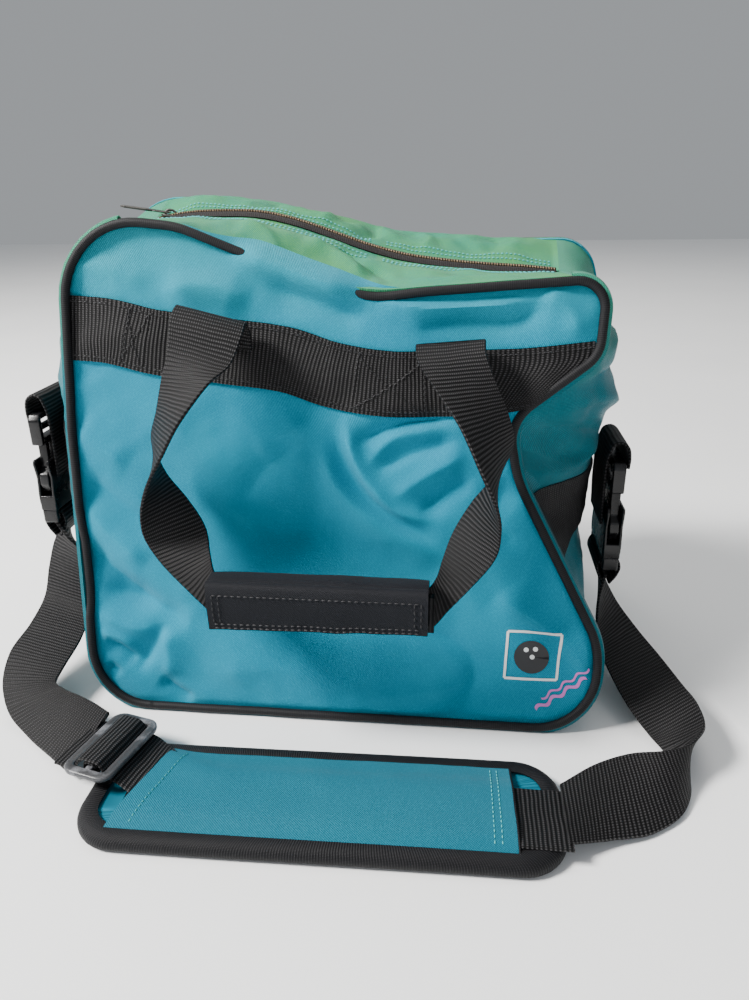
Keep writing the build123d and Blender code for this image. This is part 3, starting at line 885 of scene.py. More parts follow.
# ---- outlines and folds ----
@dataclass(frozen=True)
class Outline:
    """Closed outline with rounded corners, clockwise seen from the front."""

    corners: tuple
    per_arc: int = 11
    per_edge: int = 12

    @property
    def block(self) -> int:
        """Points that belong to one corner and the edge after it."""
        return self.per_arc + self.per_edge

    def points(self) -> Points:
        """Points all the way round.

        Returns:
            Rows of (x, z), the same number for each corner.
        """
        rows = []
        count = len(self.corners)
        for index, (x, z, radius) in enumerate(self.corners):
            here = np.array([x, z], float)
            before = np.array(self.corners[index - 1][:2], float)
            after = np.array(self.corners[(index + 1) % count][:2], float)
            back, ahead = unit(before - here), unit(after - here)
            half = math.acos(float(np.clip(back @ ahead, -1, 1))) / 2
            reach = radius / math.tan(half)
            centre = here + unit(back + ahead) * radius / math.sin(half)
            start, end = here + back * reach, here + ahead * reach
            first, last = start - centre, end - centre
            angle = math.acos(float(np.clip(unit(first) @ unit(last), -1, 1)))
            for share in np.linspace(0, 1, self.per_arc):
                a = math.sin((1 - share) * angle) / math.sin(angle)
                b = math.sin(share * angle) / math.sin(angle)
                rows.append(centre + first * a + last * b)
        arcs = np.array(rows).reshape(count, self.per_arc, 2)
        walked = []
        for index in range(count):
            walked.extend(arcs[index])
            start, end = arcs[index][-1], arcs[(index + 1) % count][0]
            for share in np.linspace(0, 1, self.per_edge + 2)[1:-1]:
                walked.append(start + (end - start) * share)
        return np.array(walked)

    def at(self, index: Points) -> Points:
        """Points at fractional indices, going round past the start.

        Args:
            index: where, counted in points.

        Returns:
            One row for each index.
        """
        ring = self.points()
        low = np.floor(index).astype(int)
        share = (index - low)[:, None]
        return ring[low % len(ring)] * (1 - share) + ring[(low + 1) % len(ring)] * share

    def middle_of(self, corner: int) -> float:
        """Index of the middle of a corner's arc."""
        return corner * self.block + (self.per_arc - 1) / 2


FRONT_LINE = Outline(tuple(FRONT_CORNERS))
MIDDLE_LINE = Outline(tuple(MIDDLE_CORNERS))
BACK_LINE = Outline(tuple(BACK_CORNERS))


@dataclass(frozen=True)
class Fold:
    """A crease or swell in cloth: a line in the cloth's plane with a soft cross-section."""

    line: tuple
    rise: float
    before: float
    after: float
    fade: float = 0.3

    def height(self, u: Points, v: Points) -> Points:
        """How far the cloth stands out.

        Args:
            u: first coordinate of each point.
            v: second coordinate of each point.

        Returns:
            Height of the fold at each point.
        """
        best = np.full(u.shape, 1e9)
        lift = np.zeros(u.shape)
        nodes = np.array(self.line, float)
        dense = spline(np.column_stack([nodes, np.zeros(len(nodes))]), 4 * len(nodes) + 6)[:, :2]
        marks = lengths(dense) / lengths(dense)[-1]
        for i in range(len(dense) - 1):
            a, b = dense[i], dense[i + 1]
            run = b - a
            size = float(run @ run)
            t = np.clip(((u - a[0]) * run[0] + (v - a[1]) * run[1]) / size, 0, 1)
            du, dv = u - a[0] - run[0] * t, v - a[1] - run[1] * t
            distance = np.hypot(du, dv)
            sign = run[0] * dv - run[1] * du
            width = np.where(sign > 0, self.before, self.after)
            share = marks[i] + (marks[i + 1] - marks[i]) * t
            taper = smooth_step(share / self.fade + 0.15) * smooth_step((1 - share) / self.fade + 0.15)
            share_out = distance / (width * FOLD_TIGHTNESS)
            value = self.rise * (0.7 * np.exp(-(share_out**2)) + 0.3 * np.exp(-2.2 * share_out)) * taper
            nearer = distance < best
            lift = np.where(nearer, value, lift)
            best = np.minimum(best, distance)
        return lift


def creases(*rows: tuple) -> tuple:
    """Folds from rows of rise, width before, width after and the line's coordinates in turn."""
    return tuple(Fold(tuple(zip(row[3::2], row[4::2])), *row[:3]) for row in rows)


FRONT_FOLDS = creases(
    (-3.5, 9, 14, -153, 146, -138, 134, -122, 122, -104, 112), (2.6, 16, 10, -152, 172, -138, 160, -120, 150),
    (-4.0, 8, 16, -154, 108, -139, 90, -122, 74, -108, 62), (2.6, 12, 9, -152, 130, -132, 108, -112, 92),
    (-4.2, 12, 7, -142, 76, -116, 68, -88, 55), (2.2, 6, 9, -148, 60, -128, 52, -104, 50),
    (-3.6, 5, 13, -103, 56, -113, 38, -124, 22), (2.8, 12, 7, -104, 52, -101, 36, -102, 20),
    (-3.0, 3.5, 6, -143, 42, -132, 37, -123, 28), (2.0, 4, 5, -146, 48, -134, 45, -122, 38),
    (-2.2, 3.5, 5, -142, 27, -134, 21), (-3.2, 4, 9, -108, 20, -98, 12, -87, 6),
    (-3.4, 26, 12, -17, 170, -42, 147, -56, 124), (2.0, 8, 14, -14, 178, -30, 168, -44, 158),
    (-2.0, 10, 16, -34, 196, -8, 190, 16, 186), (3.8, 6, 16, -8, 168, 2, 144, 24, 124, 46, 112, 64, 100),
    (-3.4, 7, 7, -3, 178, 7, 154, 23, 133, 42, 120, 62, 110), (4.2, 6, 6, 8, 182, 13, 157, 25, 139, 40, 127, 60, 122),
    (-4.4, 7, 5, 13, 165, 38, 176, 70, 180), (1.8, 4, 5, 20, 153, 33, 168, 66, 176),
    (-3.4, 8, 5, 24, 150, 44, 160, 72, 168), (3.0, 7, 8, 34, 134, 54, 149, 76, 161),
    (-3.0, 6, 7, 50, 126, 64, 137, 80, 148), (-2.6, 12, 22, 121, 118, 113, 97, 98, 82, 84, 74),
    (3.4, 12, 7, 95, 82, 114, 70, 134, 57, 152, 34), (3.4, 8, 12, 120, 118, 133, 92, 147, 64, 153, 42),
    (-3.0, 22, 7, 50, 60, 70, 52, 84, 38, 78, 18, 56, 8), (1.8, 8, 12, 20, 14, 48, 18, 76, 26),
    (2.4, 22, 22, -80, 24, -40, 30, 10, 22), (-1.5, 10, 14, -60, 64, 0, 62, 60, 56),
    (2.0, 14, 10, -150, 214, -120, 222, -92, 214), (2.2, 8, 10, -150, 262, -124, 258, -100, 250),
    (8.0, 12, 9, -56, 270, -36, 263, -10, 252, 20, 243), (5.0, 3.0, 9, 24, 241, 50, 238, 80, 239, 112, 242),
    (-3.0, 8, 8, -36, 250, -4, 240, 20, 232), (-3.6, 7, 7, 48, 226, 66, 232, 92, 232, 118, 238),
    (3.2, 8, 8, 112, 246, 128, 236, 134, 222), (2.0, 8, 10, 122, 200, 108, 190, 98, 170),
    (-2.8, 12, 10, 100, 150, 94, 128, 108, 104), (3.5, 10, 14, -96, 246, -70, 250, -44, 242),
)
BACK_FOLDS = creases(
    (3.0, 10, 16, -120, 40, -80, 60, -30, 50), (-3.5, 12, 18, -140, 120, -90, 140, -30, 130, 20, 150),
    (3.0, 12, 10, -150, 200, -110, 190, -60, 196), (-3.2, 10, 16, 20, 190, 70, 170, 130, 180),
    (3.2, 14, 10, 120, 60, 90, 90, 100, 130), (3.0, 16, 12, -20, 100, 30, 80, 80, 96),
    (3.0, 10, 12, -60, 250, 0, 240, 60, 246), (-2.5, 10, 12, 120, 230, 150, 200, 158, 160),
)
LEFT_FOLDS = creases(
    (3.0, 12, 16, -80, 40, -20, 60, 60, 46), (-3.5, 10, 14, -90, 100, -30, 120, 70, 104),
    (3.0, 10, 12, -70, 190, 0, 200, 50, 190), (-3.0, 8, 10, -60, 226, -10, 236, 40, 222),
    (2.4, 8, 8, -50, 262, 0, 256, 44, 264), (-2.4, 6, 9, -84, 70, -40, 78, 0, 70),
)
RIGHT_FOLDS = creases(
    (-4.5, 5, 9, -74, 196, -40, 202, 10, 196), (4.0, 6, 6, -72, 184, -44, 186, -10, 176, 30, 180),
    (-4.0, 5, 7, -70, 174, -50, 168, -24, 160), (3.6, 8, 9, -66, 214, -30, 220, 20, 214),
    (-3.0, 6, 9, -60, 232, -20, 228, 30, 236), (3.0, 14, 12, -80, 90, -30, 76, 50, 84),
    (-2.6, 12, 14, -90, 40, -30, 50, 60, 36), (2.6, 10, 12, 20, 120, 50, 100, 70, 70),
    (3.0, 5, 6, -76, 150, -50, 146, -20, 152),
)


@dataclass(frozen=True)
class PanelFace:
    """The curved face of one of the two big panels."""

    side: Side
    folds: tuple
    belly: float = 2.5

    def lift(self, x: Points, z: Points) -> Points:
        """How far the cloth stands out from the flat panel.

        Args:
            x: first coordinate of points of its plane.
            z: their second coordinate.

        Returns:
            The distance at each point.
        """
        height = sum(fold.height(x, z) for fold in self.folds)
        facing = self.side.value
        small = ripples(x / 34, z / 26, 3.0 * facing)
        fine = ripples(x / 11, z / 9, 7.0 * facing)
        crinkle = 1 - 2 * abs(ripples(x / 40, z / 52, 11.0 * facing))
        height = height * FOLD_DEPTH + (small * 0.9 + fine * 0.35 + crinkle * 0.7)
        swell = self.belly * np.cos(np.clip(x / 175, -1, 1) * math.pi / 2) * np.sin(np.clip(z / 270, 0, 1) * math.pi)
        return height + swell

    def base(self, x: Points, z: Points, out: Points | float) -> Points:
        """Points a distance out from the flat panel."""
        y = BASE_DEPTH / 2 - LEAN * z - PANEL_SETBACK / PANEL_COS
        return np.stack([x, self.side.value * (y + PANEL_COS * out), z + PANEL_SIN * out], axis=-1)

    def surface(self, x: Points, z: Points, extra: float = 0.0) -> Points:
        """Points on the cloth, or a little outside it."""
        return self.base(x, z, self.lift(x, z) + extra)


FRONT_FACE = PanelFace(Side.FRONT, FRONT_FOLDS)
BACK_FACE = PanelFace(Side.BACK, BACK_FOLDS)


ROLL_BACK = 7.0             # how far the cloth goes back over the piping where it hides it
ROLL_OUT = 3.4
ROLL_TOP_FROM = 180.0


@dataclass
class BigPanel:
    """One big panel with its piping."""

    face: PanelFace
    line: Outline
    name: str
    cells: int = 180

    def grid(self) -> tuple:
        """Lay a grid that fills the outline.

        Returns:
            Its two plane coordinates.
        """
        inset = self.line.points()
        corner = [int(round(self.line.middle_of(c))) for c in MAIN_CORNERS]
        count = self.cells
        left = resample(inset[corner[0]:corner[1] + 1], count)
        top = resample(inset[corner[1]:corner[2] + 1], count)
        right = resample(inset[corner[2]:corner[3] + 1], count)[::-1]
        bottom = resample(np.concatenate([inset[corner[3]:], inset[:corner[0] + 1]]), count)[::-1]
        u = np.linspace(0, 1, count)[None, :, None]
        v = np.linspace(0, 1, count)[:, None, None]
        flat = (1 - v) * bottom[None] + v * top[None] + (1 - u) * left[:, None] + u * right[:, None]
        flat = flat - (
            (1 - u) * (1 - v) * bottom[0] + u * (1 - v) * bottom[-1] + (1 - u) * v * top[0] + u * v * top[-1]
        )
        return flat[..., 0], flat[..., 1]

    def build(self) -> None:
        """Make the panel and its piping."""
        x, z = self.grid()
        edge = np.linspace(0, 1, self.cells)
        rim = np.minimum.reduce([
            np.broadcast_to(edge[:, None], x.shape), np.broadcast_to(1 - edge[:, None], x.shape),
            np.broadcast_to(edge[None], x.shape), np.broadcast_to(1 - edge[None], x.shape),
        ])
        lift = self.face.lift(x, z)
        hold = smooth_step(rim / 0.035)
        front = self.face.side is Side.FRONT
        over = window(x, -74, 46, 34) * smooth_step((z - 225) / 12)
        flank = smooth_step((-100 - x) / 10) * window(z, 56, 118, 16)
        over = np.maximum(over, flank) * front
        out = lift * np.maximum(hold, over) - 0.8 * (1 - hold) * (1 - over)
        grid = self.face.base(x, z, out)
        roll = np.clip(1 - rim / 0.04, 0, 1) * over
        grid[..., 1] -= self.face.side.value * (np.maximum(lift, 0) + ROLL_BACK) * roll**2
        grid[..., 2] += ROLL_OUT * roll * (z > ROLL_TOP_FROM)
        grid[..., 0] -= ROLL_OUT * roll * (z <= ROLL_TOP_FROM)
        panel = Loom.sheet(self.name + "_panel_cloth", grid, LINING, (0, self.face.side.value, 0.2))
        place(panel, "bag", TEAL, "nylon_front", self.name + "_panel")
        ring = self.line.points()
        ahead = unit(np.roll(ring, -1, axis=0) - np.roll(ring, 1, axis=0))
        inward = np.stack([ahead[:, 1], -ahead[:, 0]], axis=1) * (PIPING_RADIUS + 0.2)
        path = ring + inward
        wobble = ripples(path[:, 0] / 30, path[:, 1] / 30, 5.0) * 0.5
        y = self.face.side.value * (BASE_DEPTH / 2 - LEAN * path[:, 1] + wobble)
        centre = np.stack([path[:, 0], y, path[:, 1] + 0.25], axis=1)
        sunk = window(path[:, 0], -84, 56, 40) * smooth_step((path[:, 1] - 225) / 12) * front
        flank = smooth_step((-100 - path[:, 0]) / 10) * window(path[:, 1], 52, 122, 20) * front
        centre += np.stack([1.2 * flank, 1.8 * np.maximum(sunk, flank), -1.6 * sunk], axis=1)
        closed = resample(np.concatenate([centre, centre[:1]]), 420)[:-1]
        place(Loom.tube(self.name + "_piping_cord", closed, PIPING_RADIUS, ring=True, sides=12), "bag",
              PIPING, "piping", self.name + "_piping")


# ---- gussets and top ----
TOP_LEFT_CUT = -118.0       # where the seam of the mouth begins, by x
TOP_RIGHT_CUT = 128.0
ZIP_LINE = (
    (-118, 0, 281), (-98, 0, 284.5), (-71, 0, 285.5), (-50, 0, 284.5), (-29, 0, 280), (-9, 0, 273.5),
    (11, 0, 266.5), (35, 0, 260), (63, 0, 256), (85, 0, 254), (108, 0, 252.5), (128, 0, 250.5),
)
TAPE_EDGE = 5.4
COIL_EDGE = 2.4


def zip_height(x: Points) -> Points:
    """Height of the zipper line at each x."""
    rows = spline(list(ZIP_LINE), 120)
    return np.interp(x, rows[:, 0], rows[:, 2])


@dataclass
class Shell:
    """The band of cloth round the bag: two gussets, the bottom and the top beside the zipper."""

    columns: int = 72
    fullness: float = 2.5
    blend_rows: int = 26
    grids: dict = field(default_factory=dict)

    def top_span(self) -> tuple:
        """Fractional outline indices where the mouth begins and ends."""
        index = np.linspace(FRONT_LINE.middle_of(TOP_LEFT), FRONT_LINE.middle_of(TOP_RIGHT), 400)
        return tuple(np.interp((TOP_LEFT_CUT, TOP_RIGHT_CUT), FRONT_LINE.at(index)[:, 0], index))

    def across(self, index: Points, share: Points) -> Points:
        """Points of the shell.

        Args:
            index: fractional outline indices, one for each row.
            share: 0 at the front edge, 1 at the back edge, one for each column.

        Returns:
            Grid [row, column, 3].
        """
        front, middle, back = FRONT_LINE.at(index), MIDDLE_LINE.at(index), BACK_LINE.at(index)
        y_front = -(BASE_DEPTH / 2 - LEAN * front[:, 1]) + 1.2
        y_back = BASE_DEPTH / 2 - LEAN * back[:, 1] - 1.2
        t = share * 2
        near_side = t < 1
        swell = (1 - np.abs(1 - t) ** self.fullness)[None, :, None]
        outer = np.where(near_side[None, :, None], front[:, None], back[:, None])
        plane = outer * (1 - swell) + middle[:, None] * swell
        depth = y_front[:, None] * (1 - share)[None] + y_back[:, None] * share[None]
        return np.stack([plane[..., 0], depth, plane[..., 1]], axis=-1)

    def wrinkled(self, grid: Points, folds: tuple, share: Points, amount: float) -> Points:
        """Push a gusset grid out by its folds and a little noise, held at its seams.

        Args:
            grid: the smooth gusset.
            folds: its folds.
            share: 0 at the front edge, 1 at the back edge, one for each column.
            amount: size of the noise.

        Returns:
            The wrinkled grid.
        """
        normal = unit(np.cross(np.gradient(grid, axis=0), np.gradient(grid, axis=1)))
        away = grid - np.array([0, 0, 130.0])
        if np.sum(normal * away) < 0:
            normal = -normal
        x, y, z = grid[..., 0], grid[..., 1], grid[..., 2]
        lift = sum(fold.height(y, z) for fold in folds)
        rough = ripples(x / 20, y / 26, z / 22) + 0.4 * ripples(x / 8, y / 13, z / 8)
        rough = rough - 0.9 * abs(ripples(x / 30, y / 44, z / 17 + 4.0))
        held = smooth_step(share / 0.06)[None] * smooth_step((1 - share) / 0.09)[None]
        ends = window(np.arange(len(grid)), 0, len(grid) - 1, 16)[:, None]
        floor = smooth_step((z - 3) / 14)
        return grid + normal * ((lift + rough * amount) * held * floor * ends)[..., None]

    def meet_mouth(self, grid: Points, hand: Hand, share: Points) -> Points:
        """Bring the gusset's top row onto the end of the mouth's cloth.

        Args:
            grid: the gusset's points.
            hand: which gusset.
            share: 0 at the front edge, 1 at the back edge, one for each column.

        Returns:
            The grid with its upper rows eased onto the mouth.
        """
        mouth, cut = Mouth(), TOP_LEFT_CUT if hand is Hand.LEFT else TOP_RIGHT_CUT
        near = mouth.edge(MouthPart(Side.FRONT, hand), np.array([cut]))[0]
        far = mouth.edge(MouthPart(Side.BACK, hand), np.array([cut]))[0]
        top = np.array([cut, 0.0, zip_height(np.array([cut]))[0]])
        t = (share * 2)[:, None]
        target = np.where(t < 1, near + (top - near) * t.clip(0, 1), top + (far - top) * (t - 1).clip(0, 1))
        ladder = grid[::-1] if hand is Hand.LEFT else grid
        shift = target - ladder[0]
        ease = (1 - np.arange(len(grid)) / self.blend_rows).clip(0) ** 2
        ladder = ladder + shift[None] * ease[:, None, None]
        return ladder[::-1] if hand is Hand.LEFT else ladder

    def band_grid(self, hand: Hand, height: float, slope: float, out: float) -> Points:
        """Grid of webbing that lies on a gusset from seam to seam.

        Args:
            hand: which gusset.
            height: middle height of the webbing at the front seam.
            slope: rise for each millimetre towards the back.
            out: how far outside the cloth it lies.

        Returns:
            Grid [along the depth, across the webbing, 3].
        """
        rows = []
        for column in range(1, self.columns - 1):
            line = self.grids[hand][:, column]
            line = line[line[:, 2] < 235]
            order = np.argsort(line[:, 2])
            line = line[order]
            middle = height + slope * (line[0, 1] + 80)
            z = middle + np.linspace(-0.5, 0.5, 11) * WEBBING_WIDTH
            x = np.interp(z, line[:, 2], line[:, 0]) + hand.value * out
            y = np.interp(z, line[:, 2], line[:, 1])
            rows.append(np.stack([x, y, z], axis=1))
        return np.array(rows)

    def gusset(self, hand: Hand) -> None:
        """One side gusset with its half of the bottom.

        Args:
            hand: which gusset.
        """
        start, end = self.top_span()
        total = len(FRONT_LINE.points())
        bottom = FRONT_LINE.middle_of(LOW_RIGHT) + FRONT_LINE.block / 2 + 3 - total
        if hand is Hand.LEFT:
            index = np.linspace(bottom, start, 190)
            folds, name, node = LEFT_FOLDS, "left_gusset_cloth", "left_gusset"
        else:
            index = np.linspace(end, bottom + total, 210)
            folds, name, node = RIGHT_FOLDS, "right_gusset_cloth", "right_gusset"
        share = np.linspace(0, 1, self.columns)
        grid = self.meet_mouth(self.wrinkled(self.across(index, share), folds, share, 1.9), hand, share)
        grid[..., 2] = np.maximum(grid[..., 2], 0.3)
        self.grids[hand] = grid
        cloth = Loom.sheet(name, grid, LINING, (0, 0, 130, "from"))
        nodes = (node, "bottom_panel") if hand is Hand.LEFT else (node,)
        place(cloth, "bag", TEAL_SIDE, "nylon_gusset", *nodes)
        self.edge_line(hand, index)

    def edge_line(self, hand: Hand, index: Points) -> None:
        """Narrow seam flange that shows outside the front piping.

        Args:
            hand: which gusset.
            index: fractional outline indices along it.
        """
        line = FRONT_LINE.at(index)
        ahead = unit(np.gradient(line, axis=0))
        out = np.stack([-ahead[:, 1], ahead[:, 0]], axis=1)
        rows = []
        for depth, reach in ((-0.6, -1.0), (0.0, 1.3), (2.6, 1.9), (5.0, 0.6)):
            x, z = (line + out * reach).T
            y = -(BASE_DEPTH / 2 - LEAN * z) + depth
            rows.append(np.stack([x, y, np.maximum(z, 0.2)], axis=1))
        grid = np.stack(rows, axis=1)
        flange = Loom.sheet(f"{hand.name.lower()}_seam_flange", grid, 0.9, (0, 0, 130, "from"))
        place(flange, "bag", TEAL_SIDE, "nylon_gusset")

    def build(self) -> None:
        """Make both gussets."""
        self.gusset(Hand.LEFT)
        self.gusset(Hand.RIGHT)


@dataclass(frozen=True)
class MouthPart:
    """One quarter of the cloth beside the mouth: its side, its hand, and where it meets the other half."""

    side: Side
    hand: Hand
    meeting: float = 20.0

    @property
    def body(self) -> str:
        """Name of the flap body on this quarter's side."""
        return "front_flap" if self.side is Side.FRONT else "rear_flap"

    @property
    def tag(self) -> str:
        """Name ending for this quarter."""
        return f"{'front' if self.side is Side.FRONT else 'rear'}_{self.hand.name.lower()}"

    def dress(self, piece: Piece, finish: Finish, slot: str, *nodes: str) -> None:
        """Dress a piece, bake its transform into its mesh and let it stand for its CAD nodes.

        Args:
            piece: the object.
            finish: its finish.
            slot: the record's material slot.
            nodes: CAD nodes it stands for.
        """
        piece.data.materials.append(finish.material())
        facing = self.side.value
        corner = np.array([TOP_LEFT_CUT if self.hand is Hand.LEFT else TOP_RIGHT_CUT, facing * 5.0])
        seam = np.array([self.meeting, -58.0 if facing < 0 else 54.0])
        run = unit(seam - corner)
        normal = np.array([-run[1], run[0]])
        if normal[1] * facing > 0:
            normal = -normal
        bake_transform(piece)
        claim(piece, slot, *nodes)


MOUTH_FRONT_FOLDS = creases(
    (-7.0, 12, 12, -84, 8, -50, 12, -16, 14, 24, 12), (3.0, 5, 8, -60, 34, -38, 26, -30, 14),
    (3.6, 5, 9, -20, 40, 4, 30, 18, 14), (-3.0, 4, 7, -2, 44, 18, 34, 34, 20), (3.0, 8, 8, 40, 8, 70, 12, 108, 10),
)
MOUTH_REAR_FOLDS = creases(
    (-2.6, 6, 9, -60, 40, -48, 24, -44, 6), (2.6, 6, 9, -20, 42, -10, 26, -14, 6), (-3.2, 5, 9, 6, 44, 16, 26, 14, 4),
    (2.4, 6, 8, 44, 44, 50, 28, 44, 6), (-2.4, 7, 9, 84, 40, 92, 24, 88, 6),
    (3.0, 8, 10, -90, 8, -30, 6, 30, 6, 100, 8),
)


@dataclass
class Mouth:
    """Cloth, tape and coil on both sides of the zipper."""

    columns: int = 26
    per_half: int = 90

    def halves(self) -> list:
        """The four quarters."""
        return [MouthPart(side, hand) for side in Side for hand in Hand]

    def gap(self, x: Points, width: float) -> Points:
        """Half the opening left for the zipper, closing to a point past its ends."""
        return width * window(x, TOP_LEFT_CUT, TOP_RIGHT_CUT, 3.0)

    def line(self, part: MouthPart, count: int) -> Points:
        """x of each row of a quarter."""
        ends = (TOP_LEFT_CUT, part.meeting) if part.hand is Hand.LEFT else (part.meeting, TOP_RIGHT_CUT)
        return np.linspace(*ends, count)

    def edge(self, part: MouthPart, x: Points) -> Points:
        """Seam points on the big panel's top edge.

        Args:
            part: the quarter.
            x: where along the zipper.

        Returns:
            One point for each x.
        """
        line = FRONT_LINE if part.side is Side.FRONT else BACK_LINE
        index = np.linspace(line.middle_of(TOP_LEFT), line.middle_of(TOP_RIGHT), 600)
        ring = line.at(index)
        start, end = Shell().top_span()
        if part.side is Side.BACK:
            left, right = line.at(np.array([start, end]))[:, 0]
            x = left + (x - TOP_LEFT_CUT) / (TOP_RIGHT_CUT - TOP_LEFT_CUT) * (right - left)
        z = np.interp(x, ring[:, 0], ring[:, 1])
        y = part.side.value * (BASE_DEPTH / 2 - LEAN * z - 1.2)
        return np.stack([x, y, z], axis=1)

    def cloth(self, part: MouthPart) -> None:
        """Cloth painted a lighter yellow-green for the light on the top, between the panel's seam and the zipper tape.

        Args:
            part: the quarter.
        """
        x = self.line(part, self.per_half)
        seam = self.edge(part, x)
        facing = part.side.value
        inner = np.stack([x, facing * self.gap(x, TAPE_EDGE), zip_height(x)], axis=1)
        t = np.linspace(0, 1, self.columns)[None, :, None]
        grid = seam[:, None] * (1 - t) + inner[:, None] * t
        puff = np.sin(np.clip(t[..., 0], 0, 1) * math.pi)
        swell = 5.0 if part.side is Side.BACK else -1.5
        ends = window(x, TOP_LEFT_CUT, TOP_RIGHT_CUT, 26)
        rough = ripples(grid[..., 0] / 21, grid[..., 1] / 15, 2.0) * 3.0
        rough = rough + ripples(grid[..., 0] / 9, grid[..., 1] / 11, 9.0) * 1.1
        width = np.linalg.norm(inner - seam, axis=1)[:, None]
        depth = t[..., 0] * width
        folds = MOUTH_FRONT_FOLDS if part.side is Side.FRONT else MOUTH_REAR_FOLDS
        across = np.broadcast_to(x[:, None], depth.shape)
        lift = sum(fold.height(across, depth + np.zeros(depth.shape)) for fold in folds)
        grid[..., 2] += (swell * puff + rough * puff + lift * smooth_step((1 - t[..., 0]) / 0.12)) * ends[:, None]
        sink = 1.3 if part.side is Side.FRONT else 0.2
        grid[..., 2] -= sink * smooth_step((t[..., 0] - 0.72) / 0.2) * ends[:, None]
        piece = Loom.sheet("top_cloth_" + part.tag, grid, 1.6, (0, 0, 1))
        part.dress(piece, TEAL_TOP, "nylon_top", "top_flap_front" if part.side is Side.FRONT else "top_flap_rear")
        self.seams(part, grid)

    def seams(self, part: MouthPart, grid: Points) -> None:
        """Two rows of stitches beside the tape.

        Args:
            part: the quarter.
            grid: its cloth.
        """
        lines = []
        for share in (0.82, 0.9):
            column = int(share * (self.columns - 1))
            lines.append(grid[3:-3, column] + np.array([0, 0, 0.25]))
        piece = Loom.stitches("top_stitches_" + part.tag, lines, (0, 0, 1), pitch=2.6, radius=0.5)
        part.dress(piece, THREAD_TEAL, "nylon_top")

    def zipper_half(self, part: MouthPart) -> None:
        """Tape and coil of one quarter.

        Args:
            part: the quarter.
        """
        facing = part.side.value
        x = self.line(part, 150)
        x = x[3:] if part.hand is Hand.LEFT else x[:-3]
        z = zip_height(x)
        names = ("zipper_tape_front", "zipper_coil_front") if facing < 0 else ("zipper_tape_rear", "zipper_coil_rear")
        rows = []
        for y, drop in ((TAPE_EDGE + 3.0, -1.6), (TAPE_EDGE, 0.5), (COIL_EDGE + 0.8, 0.9), (0.7, 0.6)):
            rows.append(np.stack([x, facing * np.minimum(y, self.gap(x, y) + 0.05), z + drop], axis=1))
        tape = Loom.sheet(names[0] + "_" + part.hand.name.lower(), np.stack(rows, axis=1), 0.9, (0, 0, 1))
        part.dress(tape, TAPE, "zip_tape", names[0])
        angle = np.linspace(0, 2 * math.pi, 10, endpoint=False)
        reach = (COIL_EDGE - 0.25) / 2
        centre = np.stack([x, facing * (0.15 + reach) * np.ones(len(x)), z + 1.2], axis=1)
        loops = centre[:, None] + np.stack([
            np.zeros(10), np.cos(angle) * reach, np.sin(angle) * 1.0,
        ], axis=1)[None]
        coil = Loom.loft(names[1] + "_" + part.hand.name.lower(), loops)
        part.dress(coil, COIL, "zip_coil", names[1], "zipper_tail_" + part.hand.name.lower())

    def build(self) -> None:
        """Make the four quarters."""
        for part in self.halves():
            self.cloth(part)
            self.zipper_half(part)


# ---- zipper slider ----
@dataclass
class Slider:
    """The slider and its pull, resting at the left end of the zipper."""

    slope: float = math.atan2(29.5, 212.0)

    def axes(self) -> Points:
        """Directions along the zipper, across it and up from it."""
        c, s = math.cos(self.slope), math.sin(self.slope)
        return np.array([[c, 0, -s], [0, 1.0, 0], [s, 0, c]])

    def build(self) -> None:
        """Make the slider body, its bail and the pull tab."""
        axes = self.axes()
        low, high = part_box("zipper_slider")
        centre = (np.array(low) + np.array(high)) / 2 / MM
        origin = np.array([centre[0], 0.0, 0.0]) + np.array([0, 0, high[2] / MM - 4.8])
        shape = [(-5, -2.6), (-2, -4.4), (4, -4.4), (5.2, -1.2), (5.2, 1.2), (4, 4.4), (-2, 4.4), (-5, 2.6)]
        top = Loom.block("slider_top", shape, 0.7, 1.9, axes, origin, 0.4)
        under = Loom.block("slider_under", shape, -4.0, -3.0, axes, origin, 0.3)
        web = Loom.block("slider_web", [(-3, -0.3), (3, -0.3), (3, 0.3), (-3, 0.3)], -3.1, 0.8, axes, origin, 0.0)
        arch = [(-3.5, 0.0, 1.7), (-3.0, 0.0, 3.6), (-1.2, 0.0, 4.5), (1.2, 0.0, 4.5), (3.0, 0.0, 3.6), (3.5, 0.0, 1.7)]
        path = np.array([origin + axes[0] * u + axes[1] * v + axes[2] * w for u, v, w in arch])
        bail = Loom.tube("slider_bail", resample(path, 24), 0.75, sides=8)
        place(Loom.join("slider_body", [top, under, web, bail]), "slider", METAL, "zip_metal", "zipper_slider")
        pivot = origin + axes[0] * -1.0 + axes[2] * 2.9
        wire = [(0, 2.6), (0, -2.6), (4, -3.1), (9, -3.1), (10.5, 0), (9, 3.1), (4, 3.1), (0, 2.6)]
        back = np.array([-axes[0], axes[1], axes[2]])
        loop = np.array([pivot + back[0] * u + back[1] * v for u, v in wire])
        ring = Loom.tube("pull_ring", resample(loop, 40)[:-1], 0.5, ring=True, sides=8)
        tab_shape = [(9, -2.2), (13, -3.9), (27, -3.9), (30, -2.2), (30, 2.2), (27, 3.9), (13, 3.9), (9, 2.2)]
        tab = Loom.block("pull_tab", tab_shape, -0.6, 0.6, back, pivot, 0.35)
        place(Loom.join("pull_loop_and_tab", [ring, tab]), "pull", METAL, "zip_metal", "zipper_pull")


